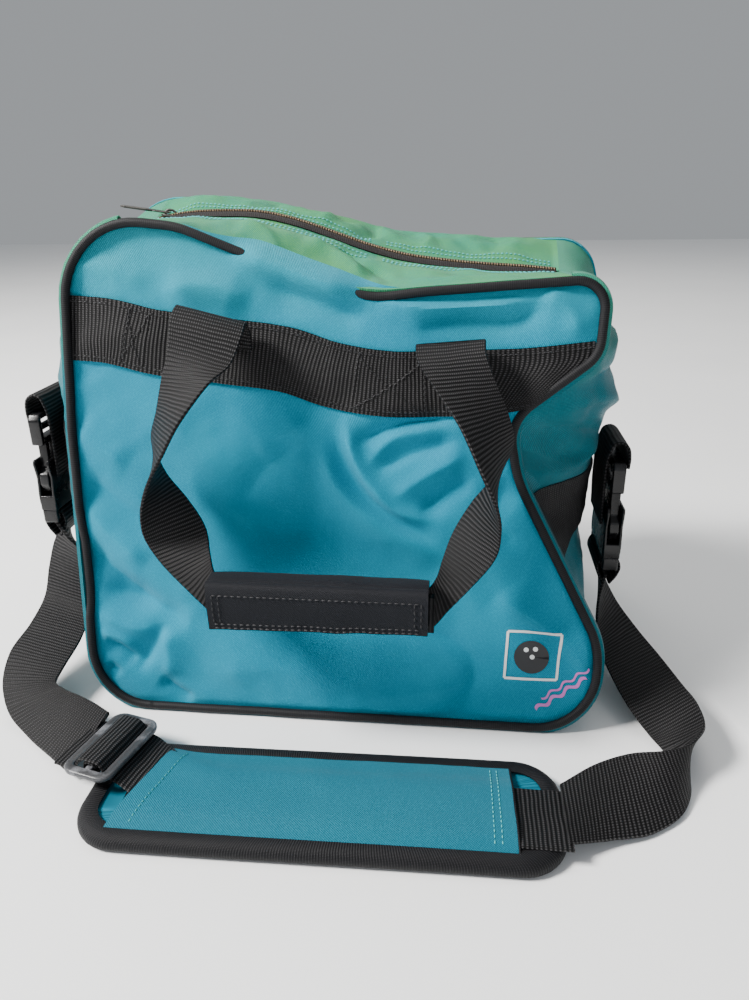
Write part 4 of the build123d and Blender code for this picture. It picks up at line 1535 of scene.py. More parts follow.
# ---- handles ----
@dataclass
class Handle:
    """Two straps that fold over the band on a big panel and meet at the grip."""

    side: Side
    left_edges: tuple = (
        ((-82, -67, 222), (-44, -68, 216)), ((-82, -70, 236), (-44, -70, 228)), ((-82, -76, 241.5), (-44, -76, 232)),
        ((-83, -83, 237), (-44, -84, 228)), ((-84, -89, 222), (-49, -93, 214)), ((-88, -93, 205), (-58, -106, 206)),
        ((-93, -92, 188), (-71, -118, 189)), ((-99, -90, 170), (-80, -124, 173)), ((-95, -89, 152), (-92, -122, 154)),
        ((-81, -93, 136), (-101, -116, 131)), ((-68, -104, 122), (-98, -113, 112)),
        ((-64, -113, 111), (-85, -119, 100)), ((-60, -121, 105), (-69, -125, 88)),
        ((-54, -126, 102), (-58, -127, 79)), ((-44, -128, 101), (-46, -128, 79)),
    )
    right_edges: tuple = (
        ((84, -67, 210), (47, -67, 207)), ((84, -70, 219), (47, -70, 216)), ((84, -76, 224), (47, -76, 221)),
        ((84, -84, 220), (48, -84, 216)), ((89, -90, 206), (57, -98, 205)), ((96, -91, 190), (71, -112, 188)),
        ((100, -89, 172), (83, -120, 165)), ((93, -88, 155), (91, -123, 149)), ((80, -91, 139), (94, -121, 134)),
        ((69, -99, 122), (91, -121, 117)), ((64, -108, 110), (80, -122, 102)), ((61, -117, 104), (69, -125, 90)),
        ((56, -125, 101), (59, -127, 79)), ((45, -128, 100), (46, -128, 79)),
    )

    def mirrored(self, edges: tuple) -> Points:
        """Edge pairs on this handle's side of the bag.

        Args:
            edges: pairs of points on the front.

        Returns:
            Rows of six numbers.
        """
        rows = np.array([list(a) + list(b) for a, b in edges], float)
        if self.side is Side.BACK:
            rows[:, (1, 4)] *= -1
        return rows

    def build(self) -> None:
        """Make both straps and the core of the grip."""
        name = self.side.name.lower()
        body = name + "_handle"
        for hand, edges in ((Hand.LEFT, self.left_edges), (Hand.RIGHT, self.right_edges)):
            rows = spline(self.mirrored(edges), 150)
            tag = f"{body}_strap_{hand.name.lower()}"
            whole = (rows[:, :3] + rows[:, 3:]) / 2
            cut = int(np.argmax(np.abs(whole[:, 1]) > 77.0))
            rising, falling = rows[:cut + 1], rows[cut:]
            node = body + "_anchors"
            root = Loom.ribbon(tag + "_root", rising[:, :3], rising[:, 3:], WEBBING)
            place(root, "bag", STRAP, "webbing", *((node,) if hand is Hand.LEFT else ()))
            strap = Loom.ribbon(tag + "_webbing", falling[:, :3], falling[:, 3:], WEBBING, crown=0.5)
            place(strap, body, STRAP, "webbing", tag)
        x, y, z = -1.0, 128.0 * self.side.value, 89.0
        core = Loom.ribbon(
            body + "_grip_webbing", np.array([[x - 61 + 4.1 * i, y, z + 11] for i in range(31)]),
            np.array([[x - 61 + 4.1 * i, y, z - 11] for i in range(31)]), 4.6, crown=0.3,
        )
        place(core, body, STRAP, "webbing", body + "_grip")


@dataclass
class GripWrap:
    """Padded wrap round the front grip, with a flap that closes over its face."""

    centre: tuple = (-1.0, -128.0, 89.0)
    length: float = 118.0
    depth: float = 16.0
    height: float = 27.0
    corner: float = 6.0
    rise: float = 5.5


    def build(self) -> None:
        """Make the wrap, the flap, both fastener strips and the stitches."""
        x0, y0, z0 = self.centre
        xs = np.linspace(x0 - self.length / 2, x0 + self.length / 2, 70)
        section = resample(rounded_loop(self.depth / 2, self.height / 2, self.corner, 6), 45)[:-1]
        rows = []
        for x in xs:
            end = 1 - abs((x - x0) / (self.length / 2)) ** 8
            swell = 0.94 + 0.06 * end
            dent = 0.5 * ripple(x / 22, 1.0, 4.0)
            ring = [(x, y0 + y * swell, z0 + self.rise + z * swell + dent * (z / 17)) for y, z in section]
            rows.append(ring)
        grid = np.array(rows)
        wrap = Loom.sheet(
            "grip_wrap_cloth", np.transpose(np.concatenate([grid, grid[:, :1]], axis=1), (1, 0, 2)), 2.2,
            (x0, y0, z0, "from"), round_rows=True,
        )
        place(wrap, "front_handle", WRAP, "wrap_nylon", "grip_wrap")
        self.flap(xs, x0, y0, z0)

    def flap(self, xs: Points, x0: float, y0: float, z0: float) -> None:
        """The flap over the front face with its stitched border, and the strips behind it.

        Args:
            xs: where its ribs stand.
            x0: middle of the grip by x.
            y0: middle by y.
            z0: middle by z.
        """
        profile = [
            (-6.6, 12.6), (-8.2, 13.2), (-9.8, 12.0), (-10.7, 9.0), (-11.2, 3.0), (-11.0, -5.0), (-10.7, -10.0),
            (-10.4, -14.0),
        ]
        line = spline([(0, y, z) for y, z in profile], 26)
        grid = np.zeros((len(xs), len(line), 3))
        for i, x in enumerate(xs):
            tilt = 0.018 * (x - x0)
            wave = 0.6 * ripple(x / 17, 6.0, 1.0)
            lower = smooth_step(np.linspace(0, 1, len(line)) * 1.4 - 0.4)
            grid[i, :, 0] = x
            grid[i, :, 1] = y0 + line[:, 1] + wave * lower * 0.6
            grid[i, :, 2] = z0 + self.rise + tilt * lower + line[:, 2] + wave * lower
        flap = Loom.sheet("grip_flap_cloth", grid, 1.5, (0, -1, 0))
        place(flap, "wrap_flap", WRAP, "wrap_nylon", "grip_wrap_flap")
        for kind, body, out, colour in (("hook", "wrap_flap", -9.1, FUZZ), ("loop", "front_handle", -8.4, FUZZ)):
            strip = np.zeros((len(xs) - 6, 6, 3))
            strip[..., 0] = xs[3:-3, None]
            strip[..., 1] = y0 + out
            strip[..., 2] = z0 + np.linspace(3.0, -5.5, 6)[None]
            piece = Loom.sheet(f"grip_{kind}_strip", strip, 0.55, (0, -1, 0))
            place(piece, body, colour, "hook_loop", f"wrap_{kind}_strip")
        out = np.array([0, -0.25, 0])
        inner = grid[2:-2]
        rows = [inner[:, 8] + out, inner[:, 22] + out, inner[:, 24] + out]
        ends = [grid[i, 8:23] + out for i in (2, 4, len(xs) - 5, len(xs) - 3)]
        seam = Loom.stitches("grip_flap_stitches", rows + ends, (0, -1, 0), pitch=3.4, radius=0.42)
        place(seam, "wrap_flap", THREAD_BLACK, "wrap_nylon")


# ---- bands on the panels ----
BAND_TRIM_FROM = 70.0       # x past which the front band narrows to the panel's edge


@dataclass
class Bands:
    """Webbing sewn across the two big panels and round the gussets."""

    shell: Shell

    @staticmethod
    def right_limit(height: float) -> float:
        """Where the front panel's waisted right edge cuts the webbing at a height."""
        line = FRONT_LINE.at(np.linspace(*map(FRONT_LINE.middle_of, WAIST), 60))[::-1]
        return float(np.interp(height, line[:, 1], line[:, 0])) - 3.5

    def across_panel(self, face: PanelFace, name: str, line: tuple, width: float) -> None:
        """Webbing that follows the cloth of a big panel.

        Args:
            face: the panel's face.
            name: front or back.
            line: (x, centre height) points.
            width: webbing width.
        """
        rows = spline([(x, 0, z) for x, z in line], 150)
        ahead = unit(np.gradient(rows, axis=0))
        up = np.stack([-ahead[:, 2], ahead[:, 0]], axis=1)
        grid = []
        for share in np.linspace(-0.5, 0.5, 13):
            x = rows[:, 0] + up[:, 0] * share * width
            z = rows[:, 2] + up[:, 1] * share * width
            limit = self.right_limit(z[-1]) if face.side is Side.FRONT else x[-1]
            trimmed = BAND_TRIM_FROM + (x - BAND_TRIM_FROM) * (limit - BAND_TRIM_FROM) / (x[-1] - BAND_TRIM_FROM)
            x = np.where(x > BAND_TRIM_FROM, trimmed, x)
            grid.append(face.surface(x, z, 1.5))
        sheet = np.stack(grid, axis=1)
        band = Loom.sheet(name + "_band_webbing", sheet, 1.9, (0, face.side.value, 0))
        place(band, "bag", STRAP, "webbing", name + "_band")
        out = np.array([0, face.side.value * 0.35, 0])
        rows = [sheet[:, 1] + out, sheet[:, 11] + out]
        for centre in ((0.12, 0.16), (0.56, 0.69)):
            a, b = int(centre[0] * 149), int(centre[1] * 149)
            rows += [sheet[a, 1:12] + out, sheet[b, 1:12] + out]
            diagonal = np.linspace(a, b, 20).astype(int)
            climb = np.linspace(1, 11, 20).astype(int)
            rows += [sheet[diagonal, climb] + out, sheet[diagonal, climb[::-1]] + out]
        seam = Loom.stitches(name + "_band_stitches", rows, (0, face.side.value, 0), pitch=3.0, radius=0.35)
        place(seam, "bag", THREAD_BLACK, "webbing")

    def side_band(self, hand: Hand, height: float, slope: float) -> None:
        """Webbing round a gusset that carries the buckle's anchor.

        Args:
            hand: which gusset.
            height: its middle height at the front seam.
            slope: rise for each millimetre towards the back.
        """
        name = hand.name.lower()
        grid = self.shell.band_grid(hand, height, slope, 1.5)
        band = Loom.sheet(name + "_side_band_webbing", grid, WEBBING, (hand.value, 0, 0))
        place(band, "bag", STRAP, "webbing", name + "_side_band")

    def build(self) -> None:
        """Make the four bands."""
        front = (
            (-151, 227), (-126, 225), (-104, 220), (-62, 215), (-24, 210), (-1, 203), (32, 198), (70, 199),
            (107, 200), (146, 204),
        )
        self.across_panel(FRONT_FACE, "front", front, WEBBING_WIDTH * 0.93)
        back = ((-146, 216), (-80, 212), (0, 206), (80, 208), (150, 214))
        self.across_panel(BACK_FACE, "back", back, WEBBING_WIDTH)
        self.side_band(Hand.LEFT, 146.0, 0.0)
        self.side_band(Hand.RIGHT, 119.0, -0.02)


# ---- buckles ----
@dataclass
class Buckle:
    """Side-release buckle: male half on the bag, two prongs, female half on the strap."""

    hand: Hand
    top: tuple
    width: float = 47.0
    length: float = 77.0
    male: float = 34.0
    thickness: float = 11.0

    def axes(self) -> Points:
        """Directions across, up and outwards."""
        out = float(self.hand.value)
        return np.array([[0, out, 0], [0, 0, 1.0], [out, 0, 0]])

    def mould(self, name: str, plates: list) -> Piece:
        """Moulded plates joined into one piece.

        Args:
            name: name of the piece.
            plates: rows of outline, underside, top and bevel.

        Returns:
            The piece.
        """
        top = np.array(self.top, float)
        made = [Loom.block("plate", shape, low, high, self.axes(), top, bevel) for shape, low, high, bevel in plates]
        return Loom.join(name, made)

    @staticmethod
    def box(u0: float, v0: float, u1: float, v1: float) -> list:
        """Corners of an upright rectangle."""
        return [(u0, v0), (u1, v0), (u1, v1), (u0, v1)]

    def build(self) -> None:
        """Make the three kinds of parts."""
        tag = self.hand.name.lower()
        half, m = self.width / 2, self.male
        left_post = [(-half, -m + 10.2), (-20, -m + 10.2), (-20, -4.4), (-half + 2.6, -4.4), (-half, -8)]
        right_post = [(-u, v) for u, v in left_post]
        block = self.mould(tag + "_buckle_male_block", [
            (left_post, -4.5, 3.2, 1.1), (right_post, -4.5, 3.2, 1.1),
            (self.box(-20.5, -7.6, 20.5, -4.2), -4.2, 3.0, 0.9), (self.box(-20.5, -15.4, 20.5, -12.1), -2.6, 1.8, 0.9),
            (self.box(-20.5, -m + 10.2, 20.5, -19.6), -4.5, 3.2, 1.0),
            (self.box(-9, -self.length + 14, 9, -m + 11), -1.6, 1.6, 0.5),
            (self.box(-half + 5, -m + 10.8, half - 5, -m + 13.2), 2.4, 4.0, 0.5),
        ])
        place(block, "bag", BUCKLE, "buckle_plastic", tag + "_buckle_male")
        arm = (
            (13.6, 9.4), (17.4, 9.4), (18.2, -6), (22.4, -10), (23.0, -16), (20.4, -21.8), (15.4, -21.8), (14.0, -8),
        )
        for label, sign in (("a", -1), ("b", 1)):
            prong = f"{tag}_prong_{label}"
            corners = [(sign * u, v - m) for u, v in arm]
            piece = Loom.block(prong + "_arm", corners, -2.9, 2.9, self.axes(), np.array(self.top, float), 0.8)
            place(piece, prong, BUCKLE, "buckle_plastic", prong)
        self.female(tag, half, m)
        self.webbing(tag)

    def female(self, tag: str, half: float, m: float) -> None:
        """The hollow half, waisted at its windows, with a bar for the strap.

        Args:
            tag: left or right.
            half: half the buckle's width.
            m: length of the male half.
        """
        t, length = self.thickness / 2, self.length
        face = [
            (-half + 1, -m), (half - 1, -m), (half, -m - 3), (half - 1.6, -m - 12), (half, -m - 24),
            (half, -length + 14), (half - 2, -length + 9), (-half + 2, -length + 9), (-half, -length + 14),
            (-half, -m - 24), (-half + 1.6, -m - 12), (-half, -m - 3),
        ]
        body = self.mould(tag + "_buckle_female_body", [
            (face, 3.6, t, 0.9), (face, -t, -3.6, 0.9),
            (self.box(-half, -length + 9, -19, -m - 24), -t + 0.3, t - 0.3, 0.8),
            (self.box(19, -length + 9, half, -m - 24), -t + 0.3, t - 0.3, 0.8),
            (self.box(-19.4, -length + 9, 19.4, -length + 13), -t + 0.6, t - 0.6, 0.6),
            (self.box(-half, -length + 0.4, -20, -length + 9.6), -t + 0.6, t - 0.6, 1.2),
            (self.box(20, -length + 0.4, half, -length + 9.6), -t + 0.6, t - 0.6, 1.2),
            (self.box(-20.5, -length + 0.3, 20.5, -length + 3.8), -2.4, 2.4, 1.1),
            (self.box(-16, -m - 4.4, 16, -m - 2.4), t - 0.2, t + 0.5, 0.3),
        ])
        place(body, f"{tag}_clip", BUCKLE, "buckle_plastic", f"{tag}_buckle_female")

    def webbing(self, tag: str) -> None:
        """Anchor loop above the buckle and the strap's looped end below it.

        Args:
            tag: left or right.
        """
        side, (x, y, z) = self.hand.value, self.top
        out, low = abs(x), z - self.length
        path = [
            (out - 7.4, z - 46), (out - 8.3, z - 20), (out - 6.6, z + 1.5), (out - 4.6, z + 6), (out - 0.5, z + 7.2),
            (out + 3.4, z + 4.6), (out + 5.2, z - 2), (out + 5.0, z - 9),
        ]
        loop = [((side * a, y, b), (0, 1, 0)) for a, b in path]
        anchor = Loom.strap(tag + "_anchor_webbing", loop, WEBBING_WIDTH, WEBBING, 50)
        place(anchor, "bag", STRAP, "webbing", tag + "_buckle_anchor")
        end = [
            (out + 1.5, low - 11), (out + 5.4, low - 5), (out + 6.9, low + 1), (out + 5.2, low + 5.6), (out, low + 6.8),
            (out - 5.2, low + 5.6), (out - 6.9, low + 1), (out - 5.4, low - 5), (out - 1.5, low - 11),
        ]
        rows = [((side * a, y, b), (0, 1, 0)) for a, b in end]
        strap = Loom.strap(tag + "_strap_end_webbing", rows, WEBBING_WIDTH, 1.6, 60)
        place(strap, f"{tag}_clip", STRAP, "webbing", f"{tag}_strap_end")


# ---- shoulder strap ----
@dataclass
class ShoulderStrap:
    """The webbing from the buckles down to the floor and round to the pad."""

    left_edges: tuple = (
        ((-191, -11, 98), (-191, -49, 98)), ((-196, -20, 90), (-183, -52, 89)), ((-203, -30, 79), (-174, -51, 77)),
        ((-208, -38, 60), (-173, -50, 56)), ((-209, -48, 43), (-173, -56, 38)), ((-209, -72, 33), (-171, -78, 28)),
        ((-211, -96, 26), (-172, -101, 22)), ((-207, -114, 17), (-171, -114, 20)), ((-196, -130, 8), (-163, -121, 21)),
        ((-176, -145, 3), (-150, -126, 20)), ((-152, -162, 4), (-138, -131, 19)), ((-135, -174, 5), (-127, -137, 18)),
    )
    right_edges: tuple = (
        ((168, 4, 66), (168, -34, 66)), ((172, 2, 52), (165, -36, 52)), ((180, -8, 37), (163, -46, 38)),
        ((192, -30, 26), (164, -60, 27)), ((203, -54, 20), (169, -80, 19)), ((210, -78, 18), (176, -98, 12)),
        ((213, -104, 21), (185, -112, 5)), ((207, -131, 24), (192, -124, 2)), ((196, -141, 23), (199, -146, 2)),
        ((184, -145, 22), (192, -166, 2)), ((168, -146, 20), (174, -182, 2)), ((149, -153, 18), (150, -192, 5)),
        ((128, -166, 14), (129, -202, 11)),
    )
    left_cut: int = 8
    right_cut: int = 7

    def half(self, edges: tuple, cut: int, count: int) -> tuple:
        """Edge rows of a riser and of the run that goes on from it.

        Args:
            edges: pairs of points on the two edges.
            cut: which pair ends the riser.
            count: rows over the whole length.

        Returns:
            Rows of the riser and rows of the run, which share one row.
        """
        rows = spline([list(a) + list(b) for a, b in edges], count)
        nearest = int(np.argmin(np.linalg.norm(rows[:, :3] - np.array(edges[cut][0], float), axis=1)))
        return rows[:nearest + 1], rows[nearest:]

    def build(self) -> None:
        """Make the risers and the runs on the floor."""
        plan = (
            ("left", self.left_edges, self.left_cut, 2.6, (-0.191, -0.030, 0.089), (-0.191, -0.078, 0.034)),
            ("right", self.right_edges, self.right_cut, WEBBING, (0.168, -0.015, 0.064), (0.184, -0.050, 0.024)),
        )
        for hand, edges, cut, thickness, top, low in plan:
            riser, run = self.half(edges, cut, 170)
            piece = Loom.ribbon(hand + "_riser_webbing", riser[:, :3], riser[:, 3:], thickness, crown=0.4)
            piece.data.materials.append(STRAP.material())
            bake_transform(piece)
            claim(piece, "webbing", hand + "_riser")
            piece = Loom.ribbon(hand + "_run_webbing", run[:, :3], run[:, 3:], thickness, crown=0.4)
            piece.data.materials.append(STRAP.material())
            if hand == "left":
                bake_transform(piece)
            else:
                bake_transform(piece)
            claim(piece, "webbing", hand + "_run")
        inside = [((x, -186, 9.9), (0, 1, 0)) for x in (131, 100, 50, 0, -50, -80, -95)]
        place(Loom.strap("pad_run_webbing", inside, WEBBING_WIDTH, WEBBING, 60), "bag", STRAP, "webbing", "pad_run")


@dataclass
class Adjuster:
    """Tri-glide with the strap woven through it."""

    centre: tuple = (-113.0, -164.0, 16.0)
    turn: float = math.radians(-14.0)
    length: float = 30.0
    width: float = 50.0
    thickness: float = 3.4
    corner: float = 4.5

    def axes(self) -> Points:
        """Directions along the strap, across it and up."""
        c, s = math.cos(self.turn), math.sin(self.turn)
        return np.array([[c, s, 0], [-s, c, 0], [0, 0, 1.0]])

    def at(self, u: float, v: float, w: float) -> Points:
        """A point in the frame's axes."""
        axes = self.axes()
        return np.array(self.centre) + axes[0] * u + axes[1] * v + axes[2] * w

    def build(self) -> None:
        """Make the rounded frame, its middle bar and the webbing through it."""
        half_u, half_v = self.length / 2 - 2.7, self.width / 2 - 2.6
        ring = resample(rounded_loop(half_u, half_v, self.corner, 6), 97)[:-1]
        ahead = unit(np.roll(ring, -1, axis=0) - np.roll(ring, 1, axis=0))
        side = np.stack([ahead[:, 1], -ahead[:, 0]], axis=1)
        angle = np.linspace(0, 2 * math.pi, 12, endpoint=False)
        flat = np.sign(np.cos(angle)) * np.abs(np.cos(angle)) ** 0.6 * 2.7
        tall = np.sign(np.sin(angle)) * np.abs(np.sin(angle)) ** 0.6 * self.thickness / 2
        loops = np.array([
            [self.at(*(p + s * a), self.thickness / 2 + b) for a, b in zip(flat, tall)] for p, s in zip(ring, side)
        ])
        frame_ring = Loom.loft("ring", loops, ring=True)
        bar = Loom.block(
            "bar", [(-1.9, -half_v), (1.9, -half_v), (1.9, half_v), (-1.9, half_v)], 0.3, self.thickness - 0.3,
            self.axes(), np.array(self.centre), 0.9,
        )
        place(Loom.join("adjuster_frame", [frame_ring, bar]), "adjuster", GLIDE, "adjuster_plastic", "adjuster")
        self.webbing()

    def webbing(self) -> None:
        """The strap's sewn end round the middle bar and its second pass over it."""
        over = self.thickness + 3.4
        path = [
            (-24, -1.6), (-16, -1.5), (-11.5, -0.6), (-8.6, 2.6), (-5.6, over - 0.4), (0, over), (5.6, over - 0.6),
            (8.8, 2.2), (11.8, -1.2), (16, -2.6),
        ]
        axes = self.axes()
        rows = [(tuple(self.at(u, 0, w)), tuple(axes[1])) for u, w in path]
        rows += [((-90, -171, 10.9), (0.2, 0.98, 0)), ((-78, -178, 10.3), (0.12, 1, 0)), ((-64, -183, 9.9), (0, 1, 0))]
        weave = Loom.strap("adjuster_weave_webbing", rows, WEBBING_WIDTH, 1.5, 80)
        place(weave, "adjuster", STRAP, "webbing", "adjuster_weave")
        path = [
            (-3.6, -1.0), (-3.9, 1.7), (-3.0, 4.4), (0, 5.0), (3.0, 4.4), (3.9, 1.7), (3.6, -1.0),
            (0, -1.5), (-3.4, -1.2),
        ]
        rows = [(tuple(self.at(u, 0, w)), tuple(axes[1])) for u, w in path]
        loop = Loom.strap("adjuster_loop_webbing", rows, WEBBING_WIDTH - 0.6, 1.1, 60)
        place(loop, "adjuster", STRAP, "webbing", "adjuster_loop")


@dataclass
class ShoulderPad:
    """Foam pad with a bound edge and a sleeve over the strap."""

    centre: tuple = (6.0, -181.0)
    length: float = 247.0
    width: float = 72.0
    corner: float = 24.0
    sleeve: tuple = (-92.0, 104.0)

    def rim(self, inset: float) -> Points:
        """Outline of the pad.

        Args:
            inset: how far it is moved inwards.

        Returns:
            Rows of (x, y).
        """
        loop = rounded_loop(self.length / 2 - inset, self.width / 2 - inset, self.corner - inset, 13)
        ring = resample(loop, 261)[:-1]
        bow = 2.0 * np.sin(ring[:, 0] / 90)
        return ring + np.array(self.centre) + np.stack([np.zeros(len(ring)), bow], axis=1)

    def top_height(self, x: Points, y: Points) -> Points:
        """Height of the lower cover's top face."""
        edge = np.clip((np.abs(y - self.centre[1])) / (self.width / 2), 0, 1)
        return 7.4 - 1.6 * edge**3 + 0.3 * ripples(x / 40, y / 25, 8.0)

    def build(self) -> None:
        """Make the cushion, the sleeve, the binding and the stitches."""
        loops = []
        for inset, height in ((5, 0.6), (2.0, 0.8), (1.2, 2.5), (1.5, 5.0), (3.5, 6.4)):
            ring = self.rim(inset)
            loops.append(np.column_stack([ring, np.full(len(ring), height)]))
        for inset in (7, 11, 16, 20, 23):
            ring = self.rim(inset)
            loops.append(np.column_stack([ring, self.top_height(ring[:, 0], ring[:, 1])]))
        spine = loops[-1].copy()
        spine[:, 1] = self.centre[1] + 2.0 * np.sin((spine[:, 0] - self.centre[0]) / 90)
        spine[:, 2] = self.top_height(spine[:, 0], spine[:, 1])
        loops.append(spine)
        floor = loops[0].copy()
        floor[:, 1] = spine[:, 1]
        pad = Loom.loft("shoulder_pad_cushion", np.array([floor] + loops))
        place(pad, "pad", TEAL_PAD, "pad_nylon", "shoulder_pad")
        self.cover()
        self.binding()

    def cover(self) -> None:
        """The sleeve's upper cover, from its slanted left end to its square right end."""
        columns, rows = 34, 110
        grid = np.zeros((rows, columns, 3))
        for j in range(columns):
            share = j / (columns - 1)
            y = self.centre[1] - (self.width / 2 - 7) + share * (self.width - 14)
            left = self.sleeve[0] - 6 + 16 * share
            right = self.sleeve[1] + 1 - 2 * share
            x = np.linspace(left, right, rows)
            bow = 2.0 * np.sin((x - self.centre[0]) / 90)
            strap = self.centre[1] - 5 + 14 * smooth_step((-50 - x) / 45)
            off = np.minimum(np.abs(y - strap), abs(y + 5 - self.centre[1]))
            middle = np.exp(-((off / 21.5) ** 6))
            side = 1 - abs(2 * share - 1) ** 5
            wave = ripples(x / 30, y / 20, 5.0) * 0.9 + ripples(x / 11, y / 11, 2.0) * 0.3
            z = 8.9 + 0.9 * side + 2.6 * middle + (0.3 + wave * 0.7) * side
            grid[:, j] = np.column_stack([x, y + bow, z])
        cover = Loom.sheet("pad_sleeve_cloth", grid, 0.9, (0, 0, 1))
        place(cover, "pad", TEAL_PAD, "pad_nylon", "pad_sleeve")
        up = np.array([0, 0, 0.3])
        lines = [grid[-5, 2:-2] + up, grid[-7, 2:-2] + up, grid[6, 2:-2] + up]
        seam = Loom.stitches("pad_stitches", lines, (0, 0, 1), pitch=2.8, radius=0.35)
        place(seam, "pad", THREAD_TEAL, "pad_nylon")
        # Painted shadow: a thin dark cord along the sleeve's right end, where its edge casts a shadow.
        end_shadow = Loom.tube("pad_sleeve_hem", grid[-1] + np.array([0.3, 0, -0.4]), 0.7, sides=6)
        place(end_shadow, "pad", GROSGRAIN, "binding")

    def binding(self) -> None:
        """Grosgrain folded over the rim."""
        profile = [(10.5, 8.9), (8.0, 9.4), (3.2, 8.9), (0.8, 7.2), (-0.2, 4.4), (0.4, 1.6), (2.4, 0.5), (9.5, 0.4)]
        line = spline([(0, a, b) for a, b in profile], 22)
        rings = []
        for _, inset, height in line:
            ring = self.rim(float(inset))
            rings.append(np.column_stack([ring, np.full(len(ring), height)]))
        grid = np.transpose(np.array(rings), (1, 0, 2))
        grid = np.concatenate([grid, grid[:1]])
        strip = Loom.sheet("pad_binding_tape", grid, 0.8, (*self.centre, 4.0, "from"), round_rows=True)
        place(strip, "pad", GROSGRAIN, "binding", "pad_binding")


# ---- print and inside ----
@dataclass
class Emblem:
    """A plain badge with a ball in a frame and two wavy strokes, printed on the front panel."""

    centre: tuple = (117.0, 46.0)
    radius: float = 15.0

    def disc(self, name: str, centre: tuple, radius: float, lift: float) -> Piece:
        """Thin printed dot that follows the cloth.

        Args:
            name: object name.
            centre: (x, z) of its middle.
            radius: its radius.
            lift: how far outside the cloth it lies.

        Returns:
            The dot.
        """
        angle = np.linspace(0, 2 * math.pi, 49)
        radii = np.linspace(0.01, radius, 6)
        x = centre[0] + np.cos(angle)[:, None] * radii[None]
        z = centre[1] + np.sin(angle)[:, None] * radii[None]
        return Loom.sheet(name, FRONT_FACE.surface(x, z, lift), 0.12, (0, -1, 0))

    def bar(self, name: str, start: tuple, end: tuple, width: float, sway: float = 0.0) -> Piece:
        """Printed stroke between two points of the panel.

        Args:
            name: object name.
            start: (x, z) of one end.
            end: (x, z) of the other.
            width: width of the stroke.
            sway: height of its waves.

        Returns:
            The stroke.
        """
        first, last = np.array(start, float), np.array(end, float)
        t = np.linspace(0, 1, 36)[:, None]
        run = unit(last - first)
        side = np.array([-run[1], run[0]])
        middle = first + (last - first) * t + side * sway * np.sin(t * 22)
        points = middle[:, None] + side * np.linspace(-0.5, 0.5, 4)[None, :, None] * width
        return Loom.sheet(name, FRONT_FACE.surface(points[..., 0], points[..., 1], 0.3), 0.12, (0, -1, 0))

    def build(self) -> None:
        """Print the badge."""
        x, z = self.centre
        h = self.radius
        corners = [(x - h, z - h), (x + h, z - h + 1), (x + h + 1, z + h), (x - h + 1, z + h - 1)]
        sides = [self.bar(f"side_{i}", corners[i], corners[(i + 1) % 4], 1.5) for i in range(4)]
        place(Loom.join("badge_frame", sides), "bag", PRINT_WHITE, "print_white", "emblem")
        place(self.disc("badge_ball", (x, z - 1), self.radius - 5.0, 0.3), "bag", PRINT_BLACK, "print_white")
        for index, (dx, dz) in enumerate(((-3.2, 3.4), (2.0, 4.2), (0.4, -0.8))):
            place(self.disc(f"badge_hole_{index}", (x + dx, z + dz), 1.4, 0.5), "bag", PRINT_WHITE, "print_white")
        strokes = [
            self.bar("low", (121, 13), (149, 34), 2.2, 1.3), self.bar("high", (124, 20), (150, 40), 1.4, -1.1),
        ]
        place(Loom.join("badge_waves", strokes), "bag", PRINT_PINK, "print_white")


@dataclass
class Inside:
    """Stiff board and foam ball cup, which keep their CAD shape."""

    def build(self) -> None:
        """Dress the two CAD nodes that stay."""
        for node, finish in (("base_board", BOARD), ("ball_cup", FOAM)):
            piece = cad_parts[node]
            piece.data.materials.clear()
            piece.data.materials.append(finish.material())
            LOG.info("node %s keeps its shape", node)


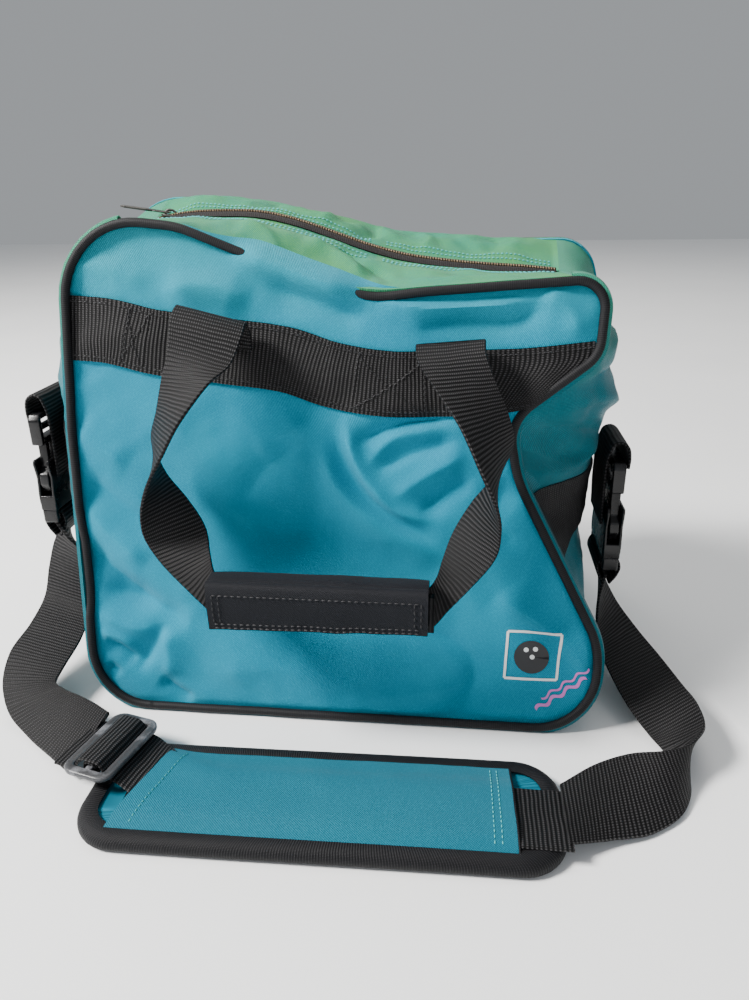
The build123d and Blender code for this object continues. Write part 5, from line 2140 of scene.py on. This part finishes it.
# ---- studio ----
@dataclass
class Studio:
    """Floor, soft lights and camera."""

    eye: tuple = (0.070, -0.474, 0.300)
    heading: tuple = (-0.115, 0.993)
    pitch: float = math.radians(22.78)
    roll: float = math.radians(0.9)
    lens: float = 27.04

    def lamp(self, name: str, place_at: tuple, target: tuple, size: float, power: float, tint: tuple) -> None:
        """Square soft light aimed at a point.

        Args:
            name: object name.
            place_at: where it hangs.
            target: where it points.
            size: length of its sides.
            power: watts.
            tint: colour.
        """
        data = bpy.data.lights.new(name, "AREA")
        data.size, data.energy, data.color = size, power, tint
        lamp = bpy.data.objects.new(name, data)
        lamp.location = place_at
        lamp.rotation_euler = (Vector(target) - Vector(place_at)).to_track_quat("-Z", "Y").to_euler()
        bpy.context.scene.collection.objects.link(lamp)

    def camera(self) -> None:
        """Camera on the viewer's side."""
        data = bpy.data.cameras.new("viewer")
        data.lens = self.lens
        data.sensor_width = 36.0
        data.clip_start = 0.01
        camera = bpy.data.objects.new("viewer", data)
        c, s = math.cos(self.pitch), math.sin(self.pitch)
        ahead = Vector((self.heading[0] * c, self.heading[1] * c, -s)).normalized()
        right = ahead.cross(Vector((0, 0, 1))).normalized()
        up = right.cross(ahead)
        turn = Matrix.Rotation(self.roll, 3, ahead)
        right, up = turn @ right, turn @ up
        camera.matrix_world = Matrix((
            (right.x, up.x, -ahead.x, self.eye[0]), (right.y, up.y, -ahead.y, self.eye[1]),
            (right.z, up.z, -ahead.z, self.eye[2]), (0, 0, 0, 1),
        ))
        bpy.context.scene.collection.objects.link(camera)
        bpy.context.scene.camera = camera

    def build(self) -> None:
        """Set the stage."""
        data = bpy.data.meshes.new("floor")
        reach = 4.0
        corners = [(-reach, -reach, 0), (reach, -reach, 0), (reach, reach, 0), (-reach, reach, 0)]
        data.from_pydata(corners, [], [(0, 1, 2, 3)])
        floor = bpy.data.objects.new("floor", data)
        floor.data.materials.append(FLOOR.material())
        bpy.context.scene.collection.objects.link(floor)
        self.lamp("window", (-1.5, -0.6, 1.6), (0.0, -0.05, 0.12), 0.55, 128.0, (1.0, 0.98, 0.95))
        self.lamp("ceiling", (-0.2, 1.2, 2.2), (0.0, 0.0, 0.2), 2.0, 34.0, (1.0, 0.97, 0.92))
        self.lamp("front fill", (0.6, -2.2, 1.2), (0.0, 0.0, 0.1), 2.0, 9.0, (0.92, 0.96, 1.0))
        world = bpy.data.worlds.new("studio")
        world.use_nodes = True
        world.node_tree.nodes["Background"].inputs[0].default_value = (0.86, 0.90, 0.94, 1.0)
        world.node_tree.nodes["Background"].inputs[1].default_value = 0.40
        bpy.context.scene.world = world
        self.camera()


def main() -> None:
    """Build the bag in order."""
    logging.basicConfig(level=logging.INFO, format="%(message)s", stream=sys.stdout)
    Studio().build()
    shell = Shell()
    parts = [
        BigPanel(FRONT_FACE, FRONT_LINE, "front"), BigPanel(BACK_FACE, BACK_LINE, "back"), shell, Mouth(), Slider(),
        Bands(shell), Handle(Side.FRONT), Handle(Side.BACK), GripWrap(), Buckle(Hand.LEFT, (-191.0, -30.0, 176.0)),
        Buckle(Hand.RIGHT, (169.0, -15.0, 148.0)), ShoulderStrap(), Adjuster(), ShoulderPad(), Emblem(), Inside(),
    ]
    for part in parts:
        LOG.info("building %s", type(part).__name__)
        part.build()
    bpy.context.view_layer.update()


if __name__ == "__main__":
    main()
